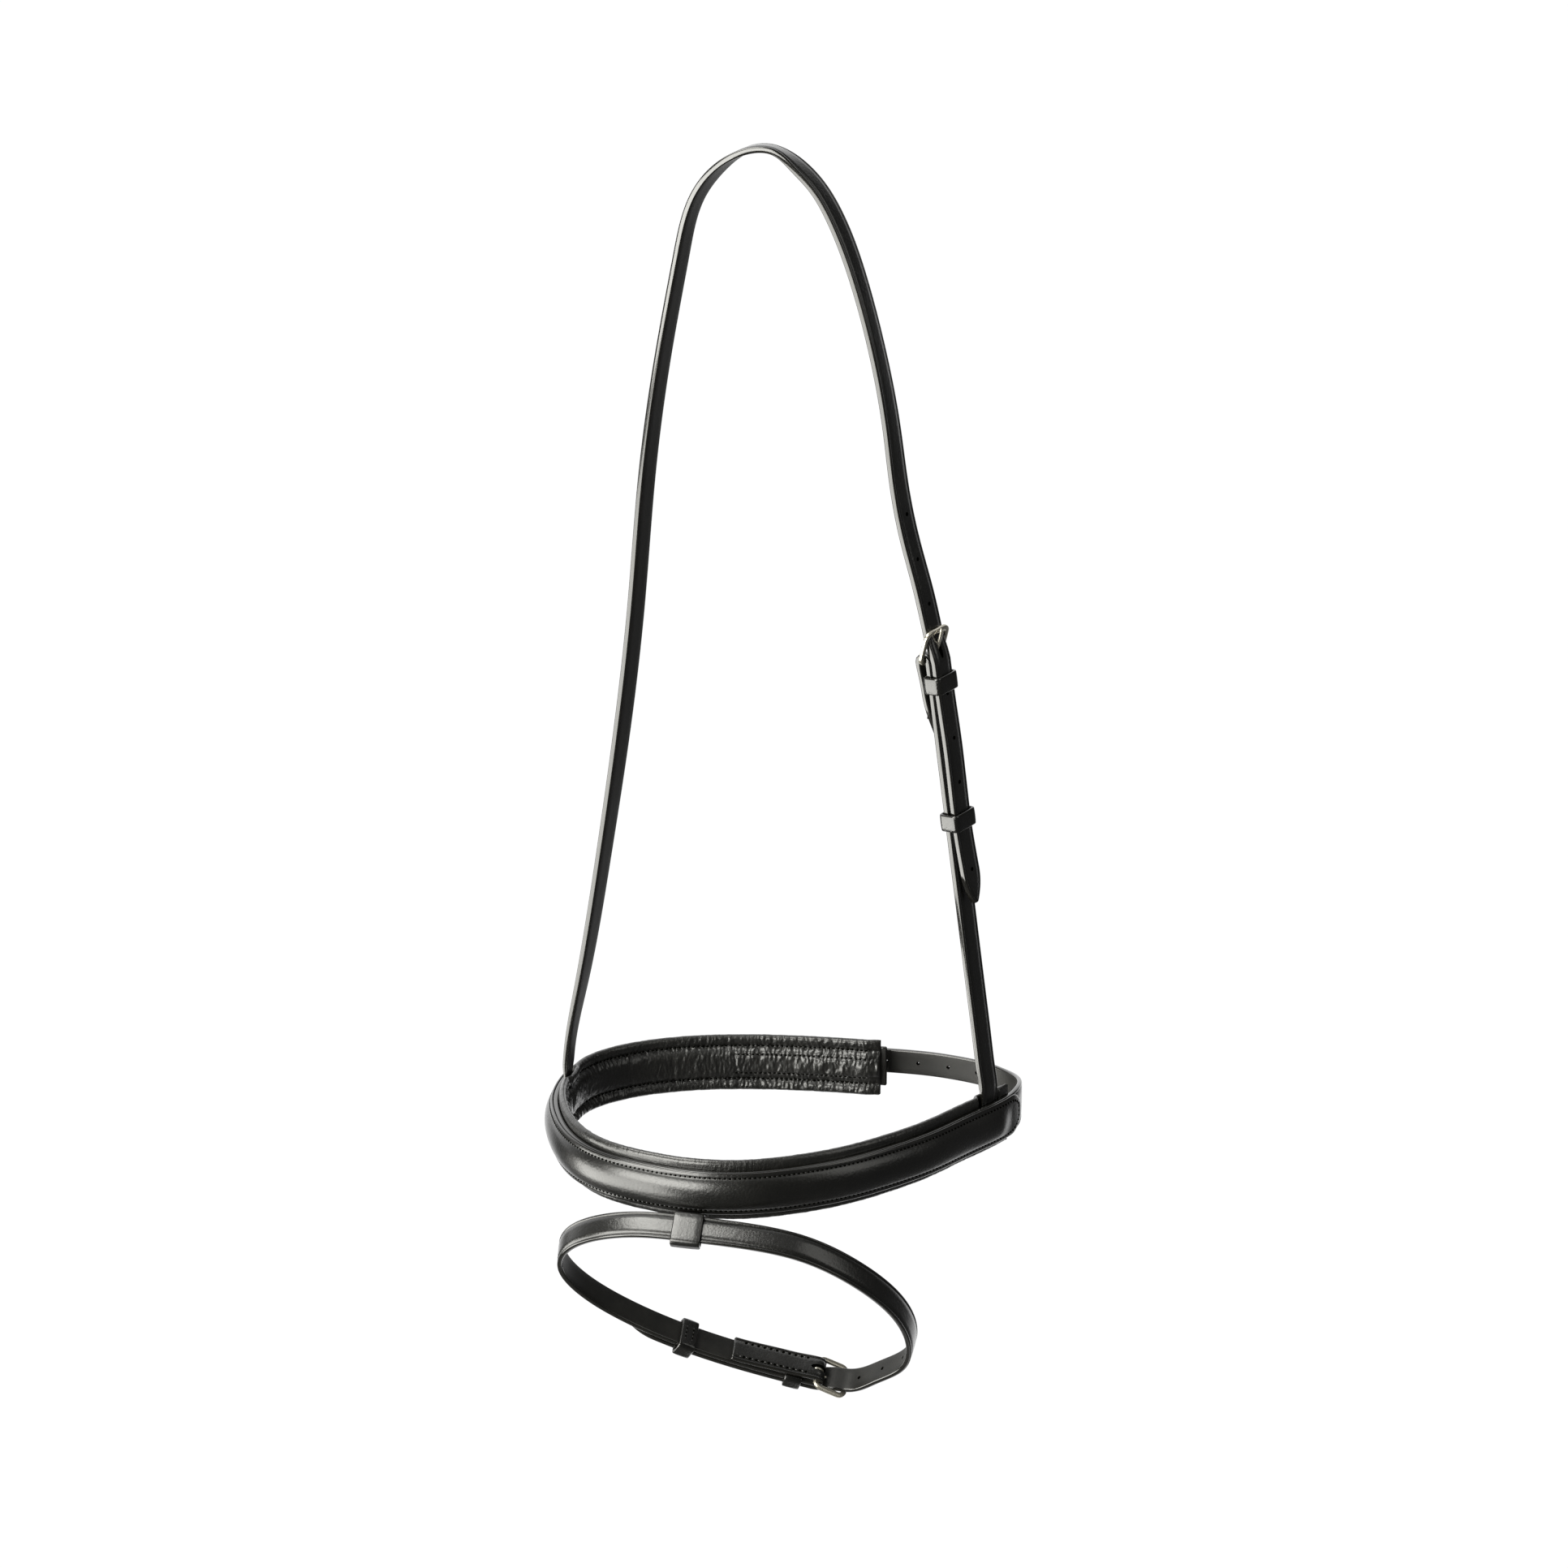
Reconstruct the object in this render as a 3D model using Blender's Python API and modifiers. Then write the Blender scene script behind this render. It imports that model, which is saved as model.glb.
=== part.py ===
"""Padded flash noseband for a bridle, in black leather with nickel buckles.

A narrow headpiece goes over the horse's poll and carries a padded noseband. Under the front
of the noseband a sewn loop holds the flash strap, which goes round under the chin.
The model is in metres. The origin is under the headpiece at its crown, +Z is up, -Y is the
front of the nose and X runs across the head. Left and right are as seen from the front.
Run it with blender --background --python.
"""

import math

import bmesh
import bpy
import numpy as np
from mathutils import Matrix, Vector

# Gaps and cutting
FIT = 0.0003  # left between pieces that touch
SLIDE_FIT = 0.00045  # left round a straight strap inside a keeper that slides
CURVED_SLIDE_FIT = 0.0007  # and round a curved one
OVERRUN = 0.002  # by which a cutter passes through what it cuts

# How finely straps are laid
FINE_STEP = 0.0005
LONGEST_STEP = 0.036
SHORTEST_STEP = 0.0012
BEND_STEP = math.radians(9)
EDGE_ROUND = 0.0005
BEVEL_ANGLE = math.radians(50)
HOLE_SIDES = 12
WIRE_STEPS = 2
CORNER_STEPS = 3
FRAME_CORNER_STEPS = 4
WRAP_STEPS = 12
HOOK_STEPS = 9

# Noseband: its ring hangs level, this far under the crown
NOSE_DROP = 0.501
NOSE_WIDTH = 0.232  # across the ring, at the middle of the base strap
NOSE_LENGTH = 0.192  # front to back
BASE_HEIGHT = 0.022
BASE_THICK = 0.0026
NOSE_BILLET_WIDTH = 0.0135
NOSE_NARROWING = 0.045  # over which the base strap narrows to its billet
NOSE_TIP_AT = 0.104  # the billet's tip, past the pad's rear end
NOSE_LEAD = 0.008  # the billet is already outside the pad this far before its rear end

# Places along the noseband, from the pad's rear end round the left side
PAD_MARGIN = 0.003
LEFT_FOOT_AT = 0.197
LOOP_AT = 0.3545
RIGHT_FOOT_AT = 0.5405
PAD_END_AT = 0.558
FACING_START_AT = 0.171
FACING_END_AT = 0.5650

# Raised facing and the filler under it
FACING_HEIGHT = 0.022
FACING_THICK = 0.0015
DOME_WIDTH = 0.0172
DOME_RISE = 0.0026
DOME_FADE = 0.014
FACING_END_ROUND = 0.010
CORE_ROOM = 0.0003  # left for the slope of the dome
CORE_THINNEST = 0.0002

# Padding: soft lining wrapped round a strip of foam
PAD_HEIGHT = 0.0316
PAD_DEPTH = 0.0044
LINING_THICK = 0.0010
PAD_END_PINCH = 0.008
FOAM_MARGIN = 0.009
FOAM_THINNEST = 0.0003

# Headpiece and cheek strap
HEAD_WIDTH = 0.0127
HEAD_THICK = 0.0032
CROWN_FLAT = 0.010
FOOT_THICK = 0.0016  # skived where a strap is sewn into the noseband
FOOT_ROOM = 0.0002  # more room for a flat foot inside a curve
FOOT_DEPTH = 0.021  # sewn in, below the top edge of the pad
SKIVE_START = 0.017
SKIVE_LENGTH = 0.010
CHEEK_LENGTH = 0.2365  # from the pad's top edge to the buckle bar
CHEEK_LEAN_IN = 0.0283  # how far in from its foot the bar hangs
CHEEK_LEAN_FORWARD = 0.0153
HEAD_TAIL = 0.042  # the turned back end below the bar
HEAD_TAIL_THICK = 0.0026
HEAD_TIP_AT = 0.129
HEAD_TIP_FLARE = 0.0026
HEAD_BULGE = 0.0008  # by which the billet stands off between its keepers
HEAD_SPREAD = 0.0005  # and in the sliding keeper
HEAD_KEEPER_AT = 0.0112
HEAD_RUNNER_AT = 0.084
HEAD_HOLE_SPACING = 0.0235
HEAD_HOLES_ABOVE = 3
HEAD_HOLES_BELOW = 5
HEAD_BILLET_DIP = 0.0030  # by which the billet comes in between the bar and the far end

# Flash strap: its ring lies in a plane that falls towards the back
FLASH_TILT = math.radians(55)
FLASH_FRONT_FLARE = math.radians(8)
FLASH_REAR_FLARE = math.radians(5)
FLASH_WIDTH = 0.0135
FLASH_THICK = 0.0028
FLASH_RING_WIDTH = 0.177
FLASH_RING_DEPTH = 0.1350
FLASH_TAIL = 0.046
FLASH_TAIL_THICK = 0.0024
FLASH_TIP_AT = 0.103
FLASH_TIP_FLARE = 0.0010
FLASH_KEEPER_AT = 0.0115
FLASH_RUNNER_AT = 0.0705
FLASH_HOLE_SPACING = 0.0185
FLASH_HOLES_BEFORE = 3
FLASH_HOLES_AFTER = 4
FLASH_BILLET_DIP = 0.0050

# Loop that carries the flash strap
LOOP_WIDTH = 0.0150
LOOP_WALL = 0.0018
LOOP_ROOT = 0.0005  # radius of the sewn edge that the loop hangs and turns on
LOOP_NECK = 0.0002
LOOP_ROOM = 0.0005
LOOP_SLACK = 0.0012  # under the strap
LOOP_LAP = 0.0002  # of the sewn edge, up over the facing's lower edge

# Jaw buckle, sewn on the outside of the pad's rear end
CHAPE_WIDTH = 0.0140
CHAPE_THICK = 0.0022
CHAPE_END_AT = 0.084
JAW_BAR_AT = 0.024
JAW_KEEPER_AT = 0.0120
JAW_FAR_KEEPER_AT = 0.0430
NOSE_HOLE_SPACING = 0.0172
NOSE_HOLES_BEFORE = 4
NOSE_HOLES_AFTER = 3
JAW_BILLET_DIP = 0.0024

# Buckles and keepers
WIRE_RADIUS = 0.0012
BUCKLE_LENGTH = 0.0160  # from the bar to the far end, wire centres, along the strap
BUCKLE_SIDE_ROOM = 0.0007
BUCKLE_CORNER = 0.0035
BAR_CORNER = 0.0016
TONGUE_RADIUS = 0.0010
TONGUE_PAST = 0.0022
TONGUE_HOOK = math.radians(262)
BUCKLE_PLAY = math.radians(5)  # lift of the frame, and again of the tongue on it
HOLE_RADIUS = TONGUE_RADIUS + FIT  # of a hole that isn't in use
KEEPER_WIDTH = 0.0090
KEEPER_WALL = 0.0016
KEEPER_INNER_WALL = 0.0012
KEEPER_CORNER = 0.0008

PUNCH_DEPTH = 2 * (HEAD_THICK + OVERRUN)

# Strap ends
TIP_LENGTH = 0.017
TIP_NOSE_SHARE = 0.20
TIP_STATION_SHARES = [0.12, 0.30, 0.55, 1.0]
TAIL_TIP_SHARE = 0.6  # a turned back end is blunter by this
END_STATION_SHARES = [0.08, 0.30, 0.60, 1.0]
NARROWING_STATION_SHARES = [0.33, 0.67, 1.0]
PINCH_SHARE = 0.64  # of the pad's depth that is left at its ends
FOAM_HEIGHT_SHARE = 0.97
TIP_DIP_SHARE = 0.35  # of the tongue's end, bent down past the frame
HALF_SHARE = 0.5

# How far out a billet runs at each distance from the bar, in shares of its lift off the
# wrapped strap: at the far end, and at two places on the way to the bar
ENTRY_SHARES = [(1.0, 0.0), (0.62, 0.30), (0.31, 0.72)]

# The two sides that a sheet can be thickened to
OUTWARD = -1.0
INWARD = 1.0

LEATHER = (0.010, 0.0095, 0.008)
LINING_LEATHER = (0.012, 0.011, 0.0095)
FELT = (0.030, 0.028, 0.025)
FOAM = (0.055, 0.052, 0.048)
NICKEL = (0.60, 0.57, 0.51)

# Middle of the base strap, seen from above, in shares of NOSE_WIDTH and NOSE_LENGTH. It
# starts at the pad's rear end and goes round the left side, the front and the right side.
NOSE_SHARES = [
    (0.196, 0.521), (0.043, 0.516), (-0.114, 0.494), (-0.263, 0.443), (-0.394, 0.346),
    (-0.469, 0.220), (-0.483, 0.105), (-0.472, -0.026), (-0.438, -0.148), (-0.388, -0.260),
    (-0.297, -0.368), (-0.190, -0.423), (-0.073, -0.446), (0.035, -0.427), (0.142, -0.364),
    (0.231, -0.284), (0.313, -0.177), (0.384, -0.060), (0.446, 0.076), (0.489, 0.168),
    (0.521, 0.262), (0.526, 0.354), (0.498, 0.443), (0.440, 0.508), (0.362, 0.545),
    (0.290, 0.562),
]

# The left limb from the foot up, in shares of the foot's distance out and of its drop, then
# the right limb down to the buckle, in shares of the place of the buckle's far end
LEFT_LIMB_SHARES = [
    (0.925, 0.900), (0.800, 0.752), (0.692, 0.604), (0.610, 0.463), (0.549, 0.330),
    (0.457, 0.198), (0.369, 0.100), (0.295, 0.045), (0.190, 0.015),
]
RIGHT_LIMB_SHARES = [
    (0.2015, 0.0219, 0.0237), (0.3158, 0.0598, 0.0646), (0.4206, 0.1156, 0.1249),
    (0.5690, 0.2432, 0.2628), (0.6739, 0.3747, 0.4050), (0.7569, 0.5222, 0.5644),
    (0.8005, 0.6338, 0.6850), (0.8644, 0.7414, 0.8014), (0.9420, 0.8371, 0.9048),
]
CHEEK_POINT_SHARES = [0.06, 0.12, 0.25, 0.40, 0.55, 0.70, 0.80, 0.90, 1.0]
RIGHT_TURNS = [math.radians(turn) for turn in (20, 21, 21, 19, 18, 21, 24, 26, 27)]
LEFT_TURNS = [math.radians(turn) for turn in (9, 15, 19, 19, 18, 16, 15, 16, 17)]

# The flash strap's ring in its own plane, in shares of its width and depth, from the
# buckle bar along the back to the left, round the front and back down the right side
FLASH_SHARES = [
    (0.277, 1.005), (0.096, 0.920), (-0.090, 0.802), (-0.266, 0.628), (-0.374, 0.444),
    (-0.403, 0.296), (-0.367, 0.158), (-0.254, 0.042), (-0.113, -0.003), (0.0, 0.0),
    (0.158, 0.016), (0.316, 0.068), (0.463, 0.222), (0.561, 0.430), (0.588, 0.645),
    (0.552, 0.826), (0.464, 0.947),
]

# Across the lining, from its top flange round the pad to the bottom flange: share of half
# the height, share of the depth. The dips are the rows of stitches.
LINING_SHARES = [
    (0.56, 0.0), (0.86, 0.0), (1.0, 0.36), (0.86, 0.75), (0.62, 0.48), (0.44, 0.84),
    (0.20, 1.0), (-0.20, 1.0), (-0.44, 0.84), (-0.62, 0.48), (-0.86, 0.75), (-1.0, 0.36),
    (-0.86, 0.0), (-0.56, 0.0),
]
FOAM_SHARES = [0.86, 0.62, 0.44, 0.20, -0.20, -0.44, -0.62, -0.86]
FACING_SHARES = [1.0, 0.79, 0.68, 0.50, 0.25, 0.0, -0.25, -0.50, -0.68, -0.79, -1.0]
CORE_SHARES = [0.65, 0.50, 0.25, 0.0, -0.25, -0.50, -0.65]


def spline(knots, values, places):
    """Read a natural cubic curve through the values, given at the knots."""
    count = len(knots)
    run = np.diff(knots)
    system = np.eye(count)
    load = np.zeros(values.shape)
    for i in range(1, count - 1):
        system[i, i - 1:i + 2] = run[i - 1], 2 * (run[i - 1] + run[i]), run[i]
        rise = (values[i + 1] - values[i]) / run[i] - (values[i] - values[i - 1]) / run[i - 1]
        load[i] = 6 * rise
    bend = np.linalg.solve(system, load)
    i = np.clip(np.searchsorted(knots, places) - 1, 0, count - 2)
    left = (knots[i + 1] - places)[:, None]
    right = (places - knots[i])[:, None]
    span = run[i][:, None]
    curve = (bend[i] * left ** 3 + bend[i + 1] * right ** 3) / (6 * span)
    ends = (values[i] / span - bend[i] * span / 6) * left
    return curve + ends + (values[i + 1] / span - bend[i + 1] * span / 6) * right


def smooth(points, widths):
    """Turn chosen points, and the way the width points at each, into a fine line."""
    points, widths = np.array(points, float), np.array(widths, float)
    knots = np.concatenate(([0.0], np.cumsum(np.linalg.norm(np.diff(points, axis=0), axis=1))))
    places = [np.array([0.0])]
    for low, high in zip(knots, knots[1:]):
        places.append(np.linspace(low, high, int((high - low) / FINE_STEP) + 2)[1:])
    places = np.concatenate(places)
    return spline(knots, points, places), spline(knots, widths, places)


def ease(share):
    """Go smoothly from 0 to 1 as the share does."""
    share = min(max(share, 0.0), 1.0)
    return share * share * (3 - 2 * share)


def between(stations, start, end):
    """The stations from start to end, with both of them and none too close together."""
    kept = [start]
    for s in sorted(stations):
        if kept[-1] + FINE_STEP < s < end - FINE_STEP:
            kept.append(s)
    return kept + [end]


class Route:
    """A fine line in space, read by the length along it. Each place has the strap's run, the
    way of its width, and the way out of its grain side."""

    def __init__(self, points, widths):
        keep = [0]
        for i in range(1, len(points)):
            if np.linalg.norm(points[i] - points[keep[-1]]) > FINE_STEP / 2:
                keep.append(i)
        self.points, self.widths = points[keep], widths[keep]
        steps = np.linalg.norm(np.diff(self.points, axis=0), axis=1)
        self.marks = np.concatenate(([0.0], np.cumsum(steps)))
        self.length = self.marks[-1]
        self.runs = np.gradient(self.points, axis=0)

    def read(self, table, s):
        return np.array([np.interp(s, self.marks, table[:, k]) for k in range(3)])

    def axes(self, s):
        run = self.read(self.runs, s)
        run /= np.linalg.norm(run)
        width = self.read(self.widths, s)
        width -= width.dot(run) * run
        width /= np.linalg.norm(width)
        return run, width, np.cross(run, width)

    def place(self, s, out=0.0, up=0.0):
        """A point at length s, moved out from the grain side and up along the width. Before
        the start and past the end the line goes straight on."""
        run, width, normal = self.axes(s)
        past = s - min(max(s, 0.0), self.length)
        return self.read(self.points, s) + past * run + out * normal + up * width

    def track(self, stops):
        """A fine line beside this one: stops are pairs of length and distance out."""
        points, widths = [], []
        for (s0, out0), (s1, out1) in zip(stops, stops[1:]):
            count = int(abs(s1 - s0) / FINE_STEP) + 1
            for i in range(count):
                s = s0 + (s1 - s0) * i / count
                points.append(self.place(s, out0 + (out1 - out0) * ease(i / count)))
                widths.append(self.axes(s)[1])
        points.append(self.place(*stops[-1]))
        widths.append(self.axes(stops[-1][0])[1])
        return np.array(points), np.array(widths)

    def nearest(self, point):
        return self.marks[np.argmin(np.linalg.norm(self.points - np.array(point), axis=1))]

    def nearest_all(self, points):
        return [self.nearest(point) for point in points]

    def stations(self, start, end, kept=()):
        """Places to lay a strap at: close where the line bends, and at each kept place."""
        auto, bend, last = [], 0.0, start
        axes = self.axes(start)
        count = int((end - start) / FINE_STEP)
        for i in range(1, count):
            s = start + (end - start) * i / count
            now = self.axes(s)
            bend += max(math.acos(min(1.0, a.dot(b))) for a, b in zip(axes, now))
            axes = now
            if bend > BEND_STEP or s - last > LONGEST_STEP:
                auto.append(s)
                bend, last = 0.0, s
        fixed = between(kept, start, end)
        free = [s for s in auto if min(abs(s - f) for f in fixed) > SHORTEST_STEP]
        return sorted(fixed + free)


def joined(*lines):
    """One route along several fine lines, end to end."""
    return Route(np.concatenate([line[0] for line in lines]),
                 np.concatenate([line[1] for line in lines]))


def clear_scene():
    for item in list(bpy.data.objects):
        bpy.data.objects.remove(item, do_unlink=True)


def collection(name):
    group = bpy.data.collections.new(name)
    bpy.context.scene.collection.children.link(group)
    return group


def finish(item, colour, roughness, metallic=0.0):
    """Give a piece its own material."""
    material = bpy.data.materials.new(item.name)
    material.use_nodes = True
    shader = material.node_tree.nodes["Principled BSDF"]
    shader.inputs["Base Color"].default_value = (*colour, 1.0)
    shader.inputs["Roughness"].default_value = roughness
    shader.inputs["Metallic"].default_value = metallic
    item.data.materials.append(material)
    return item


def add(name, data, group):
    item = bpy.data.objects.new(name, data)
    group.objects.link(item)
    return item


def as_cutter(item):
    item.hide_render = True
    item.display_type = "WIRE"
    return item


def cut(item, cutter):
    """Take a cutter out of a piece."""
    boolean = item.modifiers.new("cut", "BOOLEAN")
    boolean.operation = "DIFFERENCE"
    boolean.object = cutter


def frame_matrix(origin, x_axis, y_axis, z_axis):
    """Where an object goes, from its origin and the ways of its three axes."""
    turn = Matrix((x_axis, y_axis, z_axis)).transposed().to_4x4()
    return Matrix.Translation(origin) @ turn


def lay(name, route, stations, section, thick, group, side=0.0, share=None, rounded=True):
    """Lay a flat sheet along a route and give it its thickness. The section gives the points
    across at a station, out and up; share thins the sheet, from 0 to 1."""
    across = len(section(stations[0]))
    bm = bmesh.new()
    bmesh.ops.create_grid(bm, x_segments=len(stations) - 1, y_segments=across - 1, size=1.0)
    weights = {}
    for vertex in bm.verts:
        i = round((vertex.co.x + 1) / 2 * (len(stations) - 1))
        j = round((vertex.co.y + 1) / 2 * (across - 1))
        out, up = section(stations[i])[j]
        weights[vertex.index] = (stations[i], j)
        vertex.co = route.place(stations[i], out, up)
    mesh = bpy.data.meshes.new(name)
    bm.to_mesh(mesh)
    bm.free()
    item = add(name, mesh, group)
    solid = item.modifiers.new("thickness", "SOLIDIFY")
    solid.thickness = thick
    solid.offset = side
    if share:
        layer = item.vertex_groups.new(name="thickness")
        for index, (s, j) in weights.items():
            layer.add([index], share(s, j), "REPLACE")
        solid.vertex_group = layer.name
    if rounded:
        bevel = item.modifiers.new("edges", "BEVEL")
        bevel.width = EDGE_ROUND
        bevel.segments = 1
        bevel.limit_method = "ANGLE"
        bevel.angle_limit = BEVEL_ANGLE
    return item


def tip_share(left):
    """Share of the full width where this much of the strap is left."""
    away = 1 - min(max(left / TIP_LENGTH, 0.0), 1.0)
    return TIP_NOSE_SHARE + (1 - TIP_NOSE_SHARE) * (1 - away * away)


def tip_stations(end, way=-1):
    return [end + way * TIP_LENGTH * share for share in TIP_STATION_SHARES]


def punch(name, matrices, radius, depth, group):
    """Round punches, one at each matrix, along its Z axis."""
    bm = bmesh.new()
    for matrix in matrices:
        bmesh.ops.create_cone(bm, cap_ends=True, segments=HOLE_SIDES, radius1=radius,
                              radius2=radius, depth=depth, matrix=matrix)
    mesh = bpy.data.meshes.new(name)
    bm.to_mesh(mesh)
    bm.free()
    return as_cutter(add(name, mesh, group))


def hole_matrices(route, places):
    matrices = []
    for s in places:
        run, width, normal = route.axes(s)
        matrices.append(frame_matrix(route.place(s), run, width, normal))
    return matrices


def block(name, matrix, low, high, group):
    """A box cutter between two corners in its own axes."""
    bm = bmesh.new()
    bmesh.ops.create_cube(bm, size=1.0)
    for vertex in bm.verts:
        for k in range(3):
            vertex.co[k] = low[k] + (high[k] - low[k]) * (vertex.co[k] + HALF_SHARE)
    mesh = bpy.data.meshes.new(name)
    bm.to_mesh(mesh)
    bm.free()
    item = as_cutter(add(name, mesh, group))
    item.matrix_world = matrix
    return item


def rounded_box(low, high, corner):
    """Outline of a box with round corners, in the plane of its own axes."""
    outline = []
    turns = [(high[0], high[1], 0), (low[0], high[1], 1), (low[0], low[1], 2), (high[0], low[1], 3)]
    for x, y, quarter in turns:
        inward_x = corner if quarter in (1, 2) else -corner
        inward_y = corner if quarter in (2, 3) else -corner
        for step in range(CORNER_STEPS + 1):
            angle = (quarter + step / CORNER_STEPS) * math.pi / 2
            outline.append((x + inward_x + corner * math.cos(angle),
                            y + inward_y + corner * math.sin(angle)))
    return outline


def plate(name, outlines, thick, matrix, group):
    """A flat piece from closed outlines, the later ones holes, centred on its own plane."""
    curve = bpy.data.curves.new(name, "CURVE")
    curve.dimensions = "2D"
    curve.fill_mode = "BOTH"
    curve.extrude = thick / 2
    for outline in outlines:
        line = curve.splines.new("POLY")
        line.points.add(len(outline) - 1)
        for point, (x, y) in zip(line.points, outline):
            point.co = (x, y, 0.0, 1.0)
        line.use_cyclic_u = True
    item = add(name, curve, group)
    item.matrix_world = matrix
    return item


def wire(name, points, radius, closed, matrix, group):
    """A round wire along points in its own axes."""
    curve = bpy.data.curves.new(name, "CURVE")
    curve.dimensions = "3D"
    curve.bevel_depth = radius
    curve.bevel_resolution = WIRE_STEPS
    curve.use_fill_caps = not closed
    line = curve.splines.new("POLY")
    line.points.add(len(points) - 1)
    for point, place in zip(line.points, points):
        point.co = (*place, 1.0)
    line.use_cyclic_u = closed
    item = add(name, curve, group)
    item.matrix_world = matrix
    return item


class Buckle:
    """Places for one buckle. The bar lies across the base line at length s; u runs from the
    bar to the far end and out leaves the grain side. The strap end turned round the bar
    lies at the inside of the bar, the billet outside it."""

    def __init__(self, base, s, way, bar_out, wrap_thick, billet_thick, billet_stops, width):
        run, across, normal = base.axes(s)
        self.base, self.s, self.way = base, s, way
        self.u_axis, self.h_axis, self.normal = way * run, way * across, normal
        self.centre = base.place(s, bar_out)
        self.bar_out = bar_out
        self.wrap_thick, self.billet_thick = wrap_thick, billet_thick
        self.stops = billet_stops
        self.width = width
        self.wrap_radius = WIRE_RADIUS + FIT + wrap_thick / 2
        far_out = dict(billet_stops)[BUCKLE_LENGTH] + billet_thick / 2 + FIT + WIRE_RADIUS
        far = base.place(s + way * BUCKLE_LENGTH, far_out) - self.centre
        self.far = np.array([far.dot(self.u_axis), far.dot(normal)])
        self.reach = np.linalg.norm(self.far)
        self.along = self.far / self.reach
        self.above = np.array([-self.along[1], self.along[0]])
        self.ring_radius = WIRE_RADIUS + FIT + TONGUE_RADIUS

    def place(self, u, out=0.0, up=0.0):
        """A point by distance along the base from the bar, out from the base line."""
        return self.base.place(self.s + self.way * u, out, self.way * up)

    def matrix(self):
        return frame_matrix(self.centre, self.u_axis, self.h_axis, self.normal)

    def wrap(self):
        """The turn round the bar, from the inner leg to the outer leg."""
        points, widths = [], []
        for step in range(WRAP_STEPS + 1):
            angle = math.pi * (step / WRAP_STEPS - HALF_SHARE)
            across = self.wrap_radius * math.cos(angle)
            rise = self.wrap_radius * math.sin(angle)
            points.append(self.centre + across * self.u_axis + rise * self.normal)
            widths.append(-self.h_axis)
        return np.array(points), np.array(widths)

    def tongue_line(self):
        """Start and end of the tongue's straight part, from the bar's centre."""
        start = self.above * self.ring_radius
        rest = WIRE_RADIUS + FIT + TONGUE_RADIUS
        return start, self.far + self.above * rest

    def crossing(self, route, start, end):
        """Where along a billet's route the tongue goes through it."""
        low, high = self.tongue_line()
        way = (high - low) / np.linalg.norm(high - low)
        best = None
        for s in np.arange(start, end, FINE_STEP):
            away = route.place(s) - self.centre
            flat = np.array([away.dot(self.u_axis), away.dot(self.normal)]) - low
            side = abs(flat[0] * way[1] - flat[1] * way[0])
            ahead = flat.dot(way)
            if 0 < ahead < self.reach and (best is None or side < best[0]):
                best = (side, s, ahead)
        return best[1], best[2]

    def keeper_marks(self, route, places, out):
        """Lengths on a strap's route at both edges of the keepers at these places."""
        return route.nearest_all([self.place(side * KEEPER_WIDTH / 2 - u, out)
                                  for u in places for side in (-1, 1)])

    def frame(self, name, group):
        """The frame, with its bar on the object's origin."""
        side = self.width / 2 + BUCKLE_SIDE_ROOM + WIRE_RADIUS
        outline = []
        corners = [(self.reach, side, BUCKLE_CORNER, 0), (0.0, side, BAR_CORNER, 1),
                   (0.0, -side, BAR_CORNER, 2), (self.reach, -side, BUCKLE_CORNER, 3)]
        for x, y, corner, quarter in corners:
            inward_x = corner if quarter in (1, 2) else -corner
            inward_y = corner if quarter in (2, 3) else -corner
            for step in range(FRAME_CORNER_STEPS + 1):
                angle = (quarter + step / FRAME_CORNER_STEPS) * math.pi / 2
                across = x + inward_x + corner * math.cos(angle)
                outline.append((across * self.along[0],
                                y + inward_y + corner * math.sin(angle),
                                across * self.along[1]))
        item = wire(name, outline, WIRE_RADIUS, True, self.matrix(), group)
        return finish(item, NICKEL, 0.24, 1.0)

    def tongue(self, name, group):
        """The tongue, hooked round the bar on the object's origin."""
        line = []
        for step in range(HOOK_STEPS):
            angle = TONGUE_HOOK * (1 - step / HOOK_STEPS)
            spot = self.ring_radius * (self.above * math.cos(angle) - self.along * math.sin(angle))
            line.append((spot[0], 0.0, spot[1]))
        start, end = self.tongue_line()
        tip = end + self.along * TONGUE_PAST - self.above * TONGUE_PAST * TIP_DIP_SHARE
        for spot in (start, (start + end) / 2, end, tip):
            line.append((spot[0], 0.0, spot[1]))
        item = wire(name, line, TONGUE_RADIUS, False, self.matrix(), group)
        return finish(item, NICKEL, 0.24, 1.0)

    def slot(self, name, group):
        """Cutter for the opening that the tongue's hook turns in."""
        clear = self.ring_radius + TONGUE_RADIUS + 2 * FIT
        reach = self.wrap_radius + self.wrap_thick / 2 + OVERRUN
        half = TONGUE_RADIUS + SLIDE_FIT
        return block(name, self.matrix(), (-clear, -half, -reach), (reach, half, reach), group)

    def used_hole(self, name, ahead, group):
        """Cutter for the hole in use, drawn out by the tongue that leans and lifts in it."""
        start, end = self.tongue_line()
        way = (end - start) / np.linalg.norm(end - start)
        side = np.array([-way[1], way[0]])
        lift = (ahead + self.billet_thick) * math.sin(2 * BUCKLE_PLAY)
        spot = start + way * (ahead + lift) + side * lift / 2
        z_axis = way[0] * self.u_axis + way[1] * self.normal
        x_axis = side[0] * self.u_axis + side[1] * self.normal
        origin = self.centre + spot[0] * self.u_axis + spot[1] * self.normal
        matrix = frame_matrix(origin, x_axis, np.cross(z_axis, x_axis), z_axis)
        bore = TONGUE_RADIUS + FIT
        stretch = Matrix.Diagonal((1 + (lift / 2 + FIT) / bore, 1.0, 1.0, 1.0))
        return punch(name, [matrix @ stretch], bore, PUNCH_DEPTH + 2 * lift, group)

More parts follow.
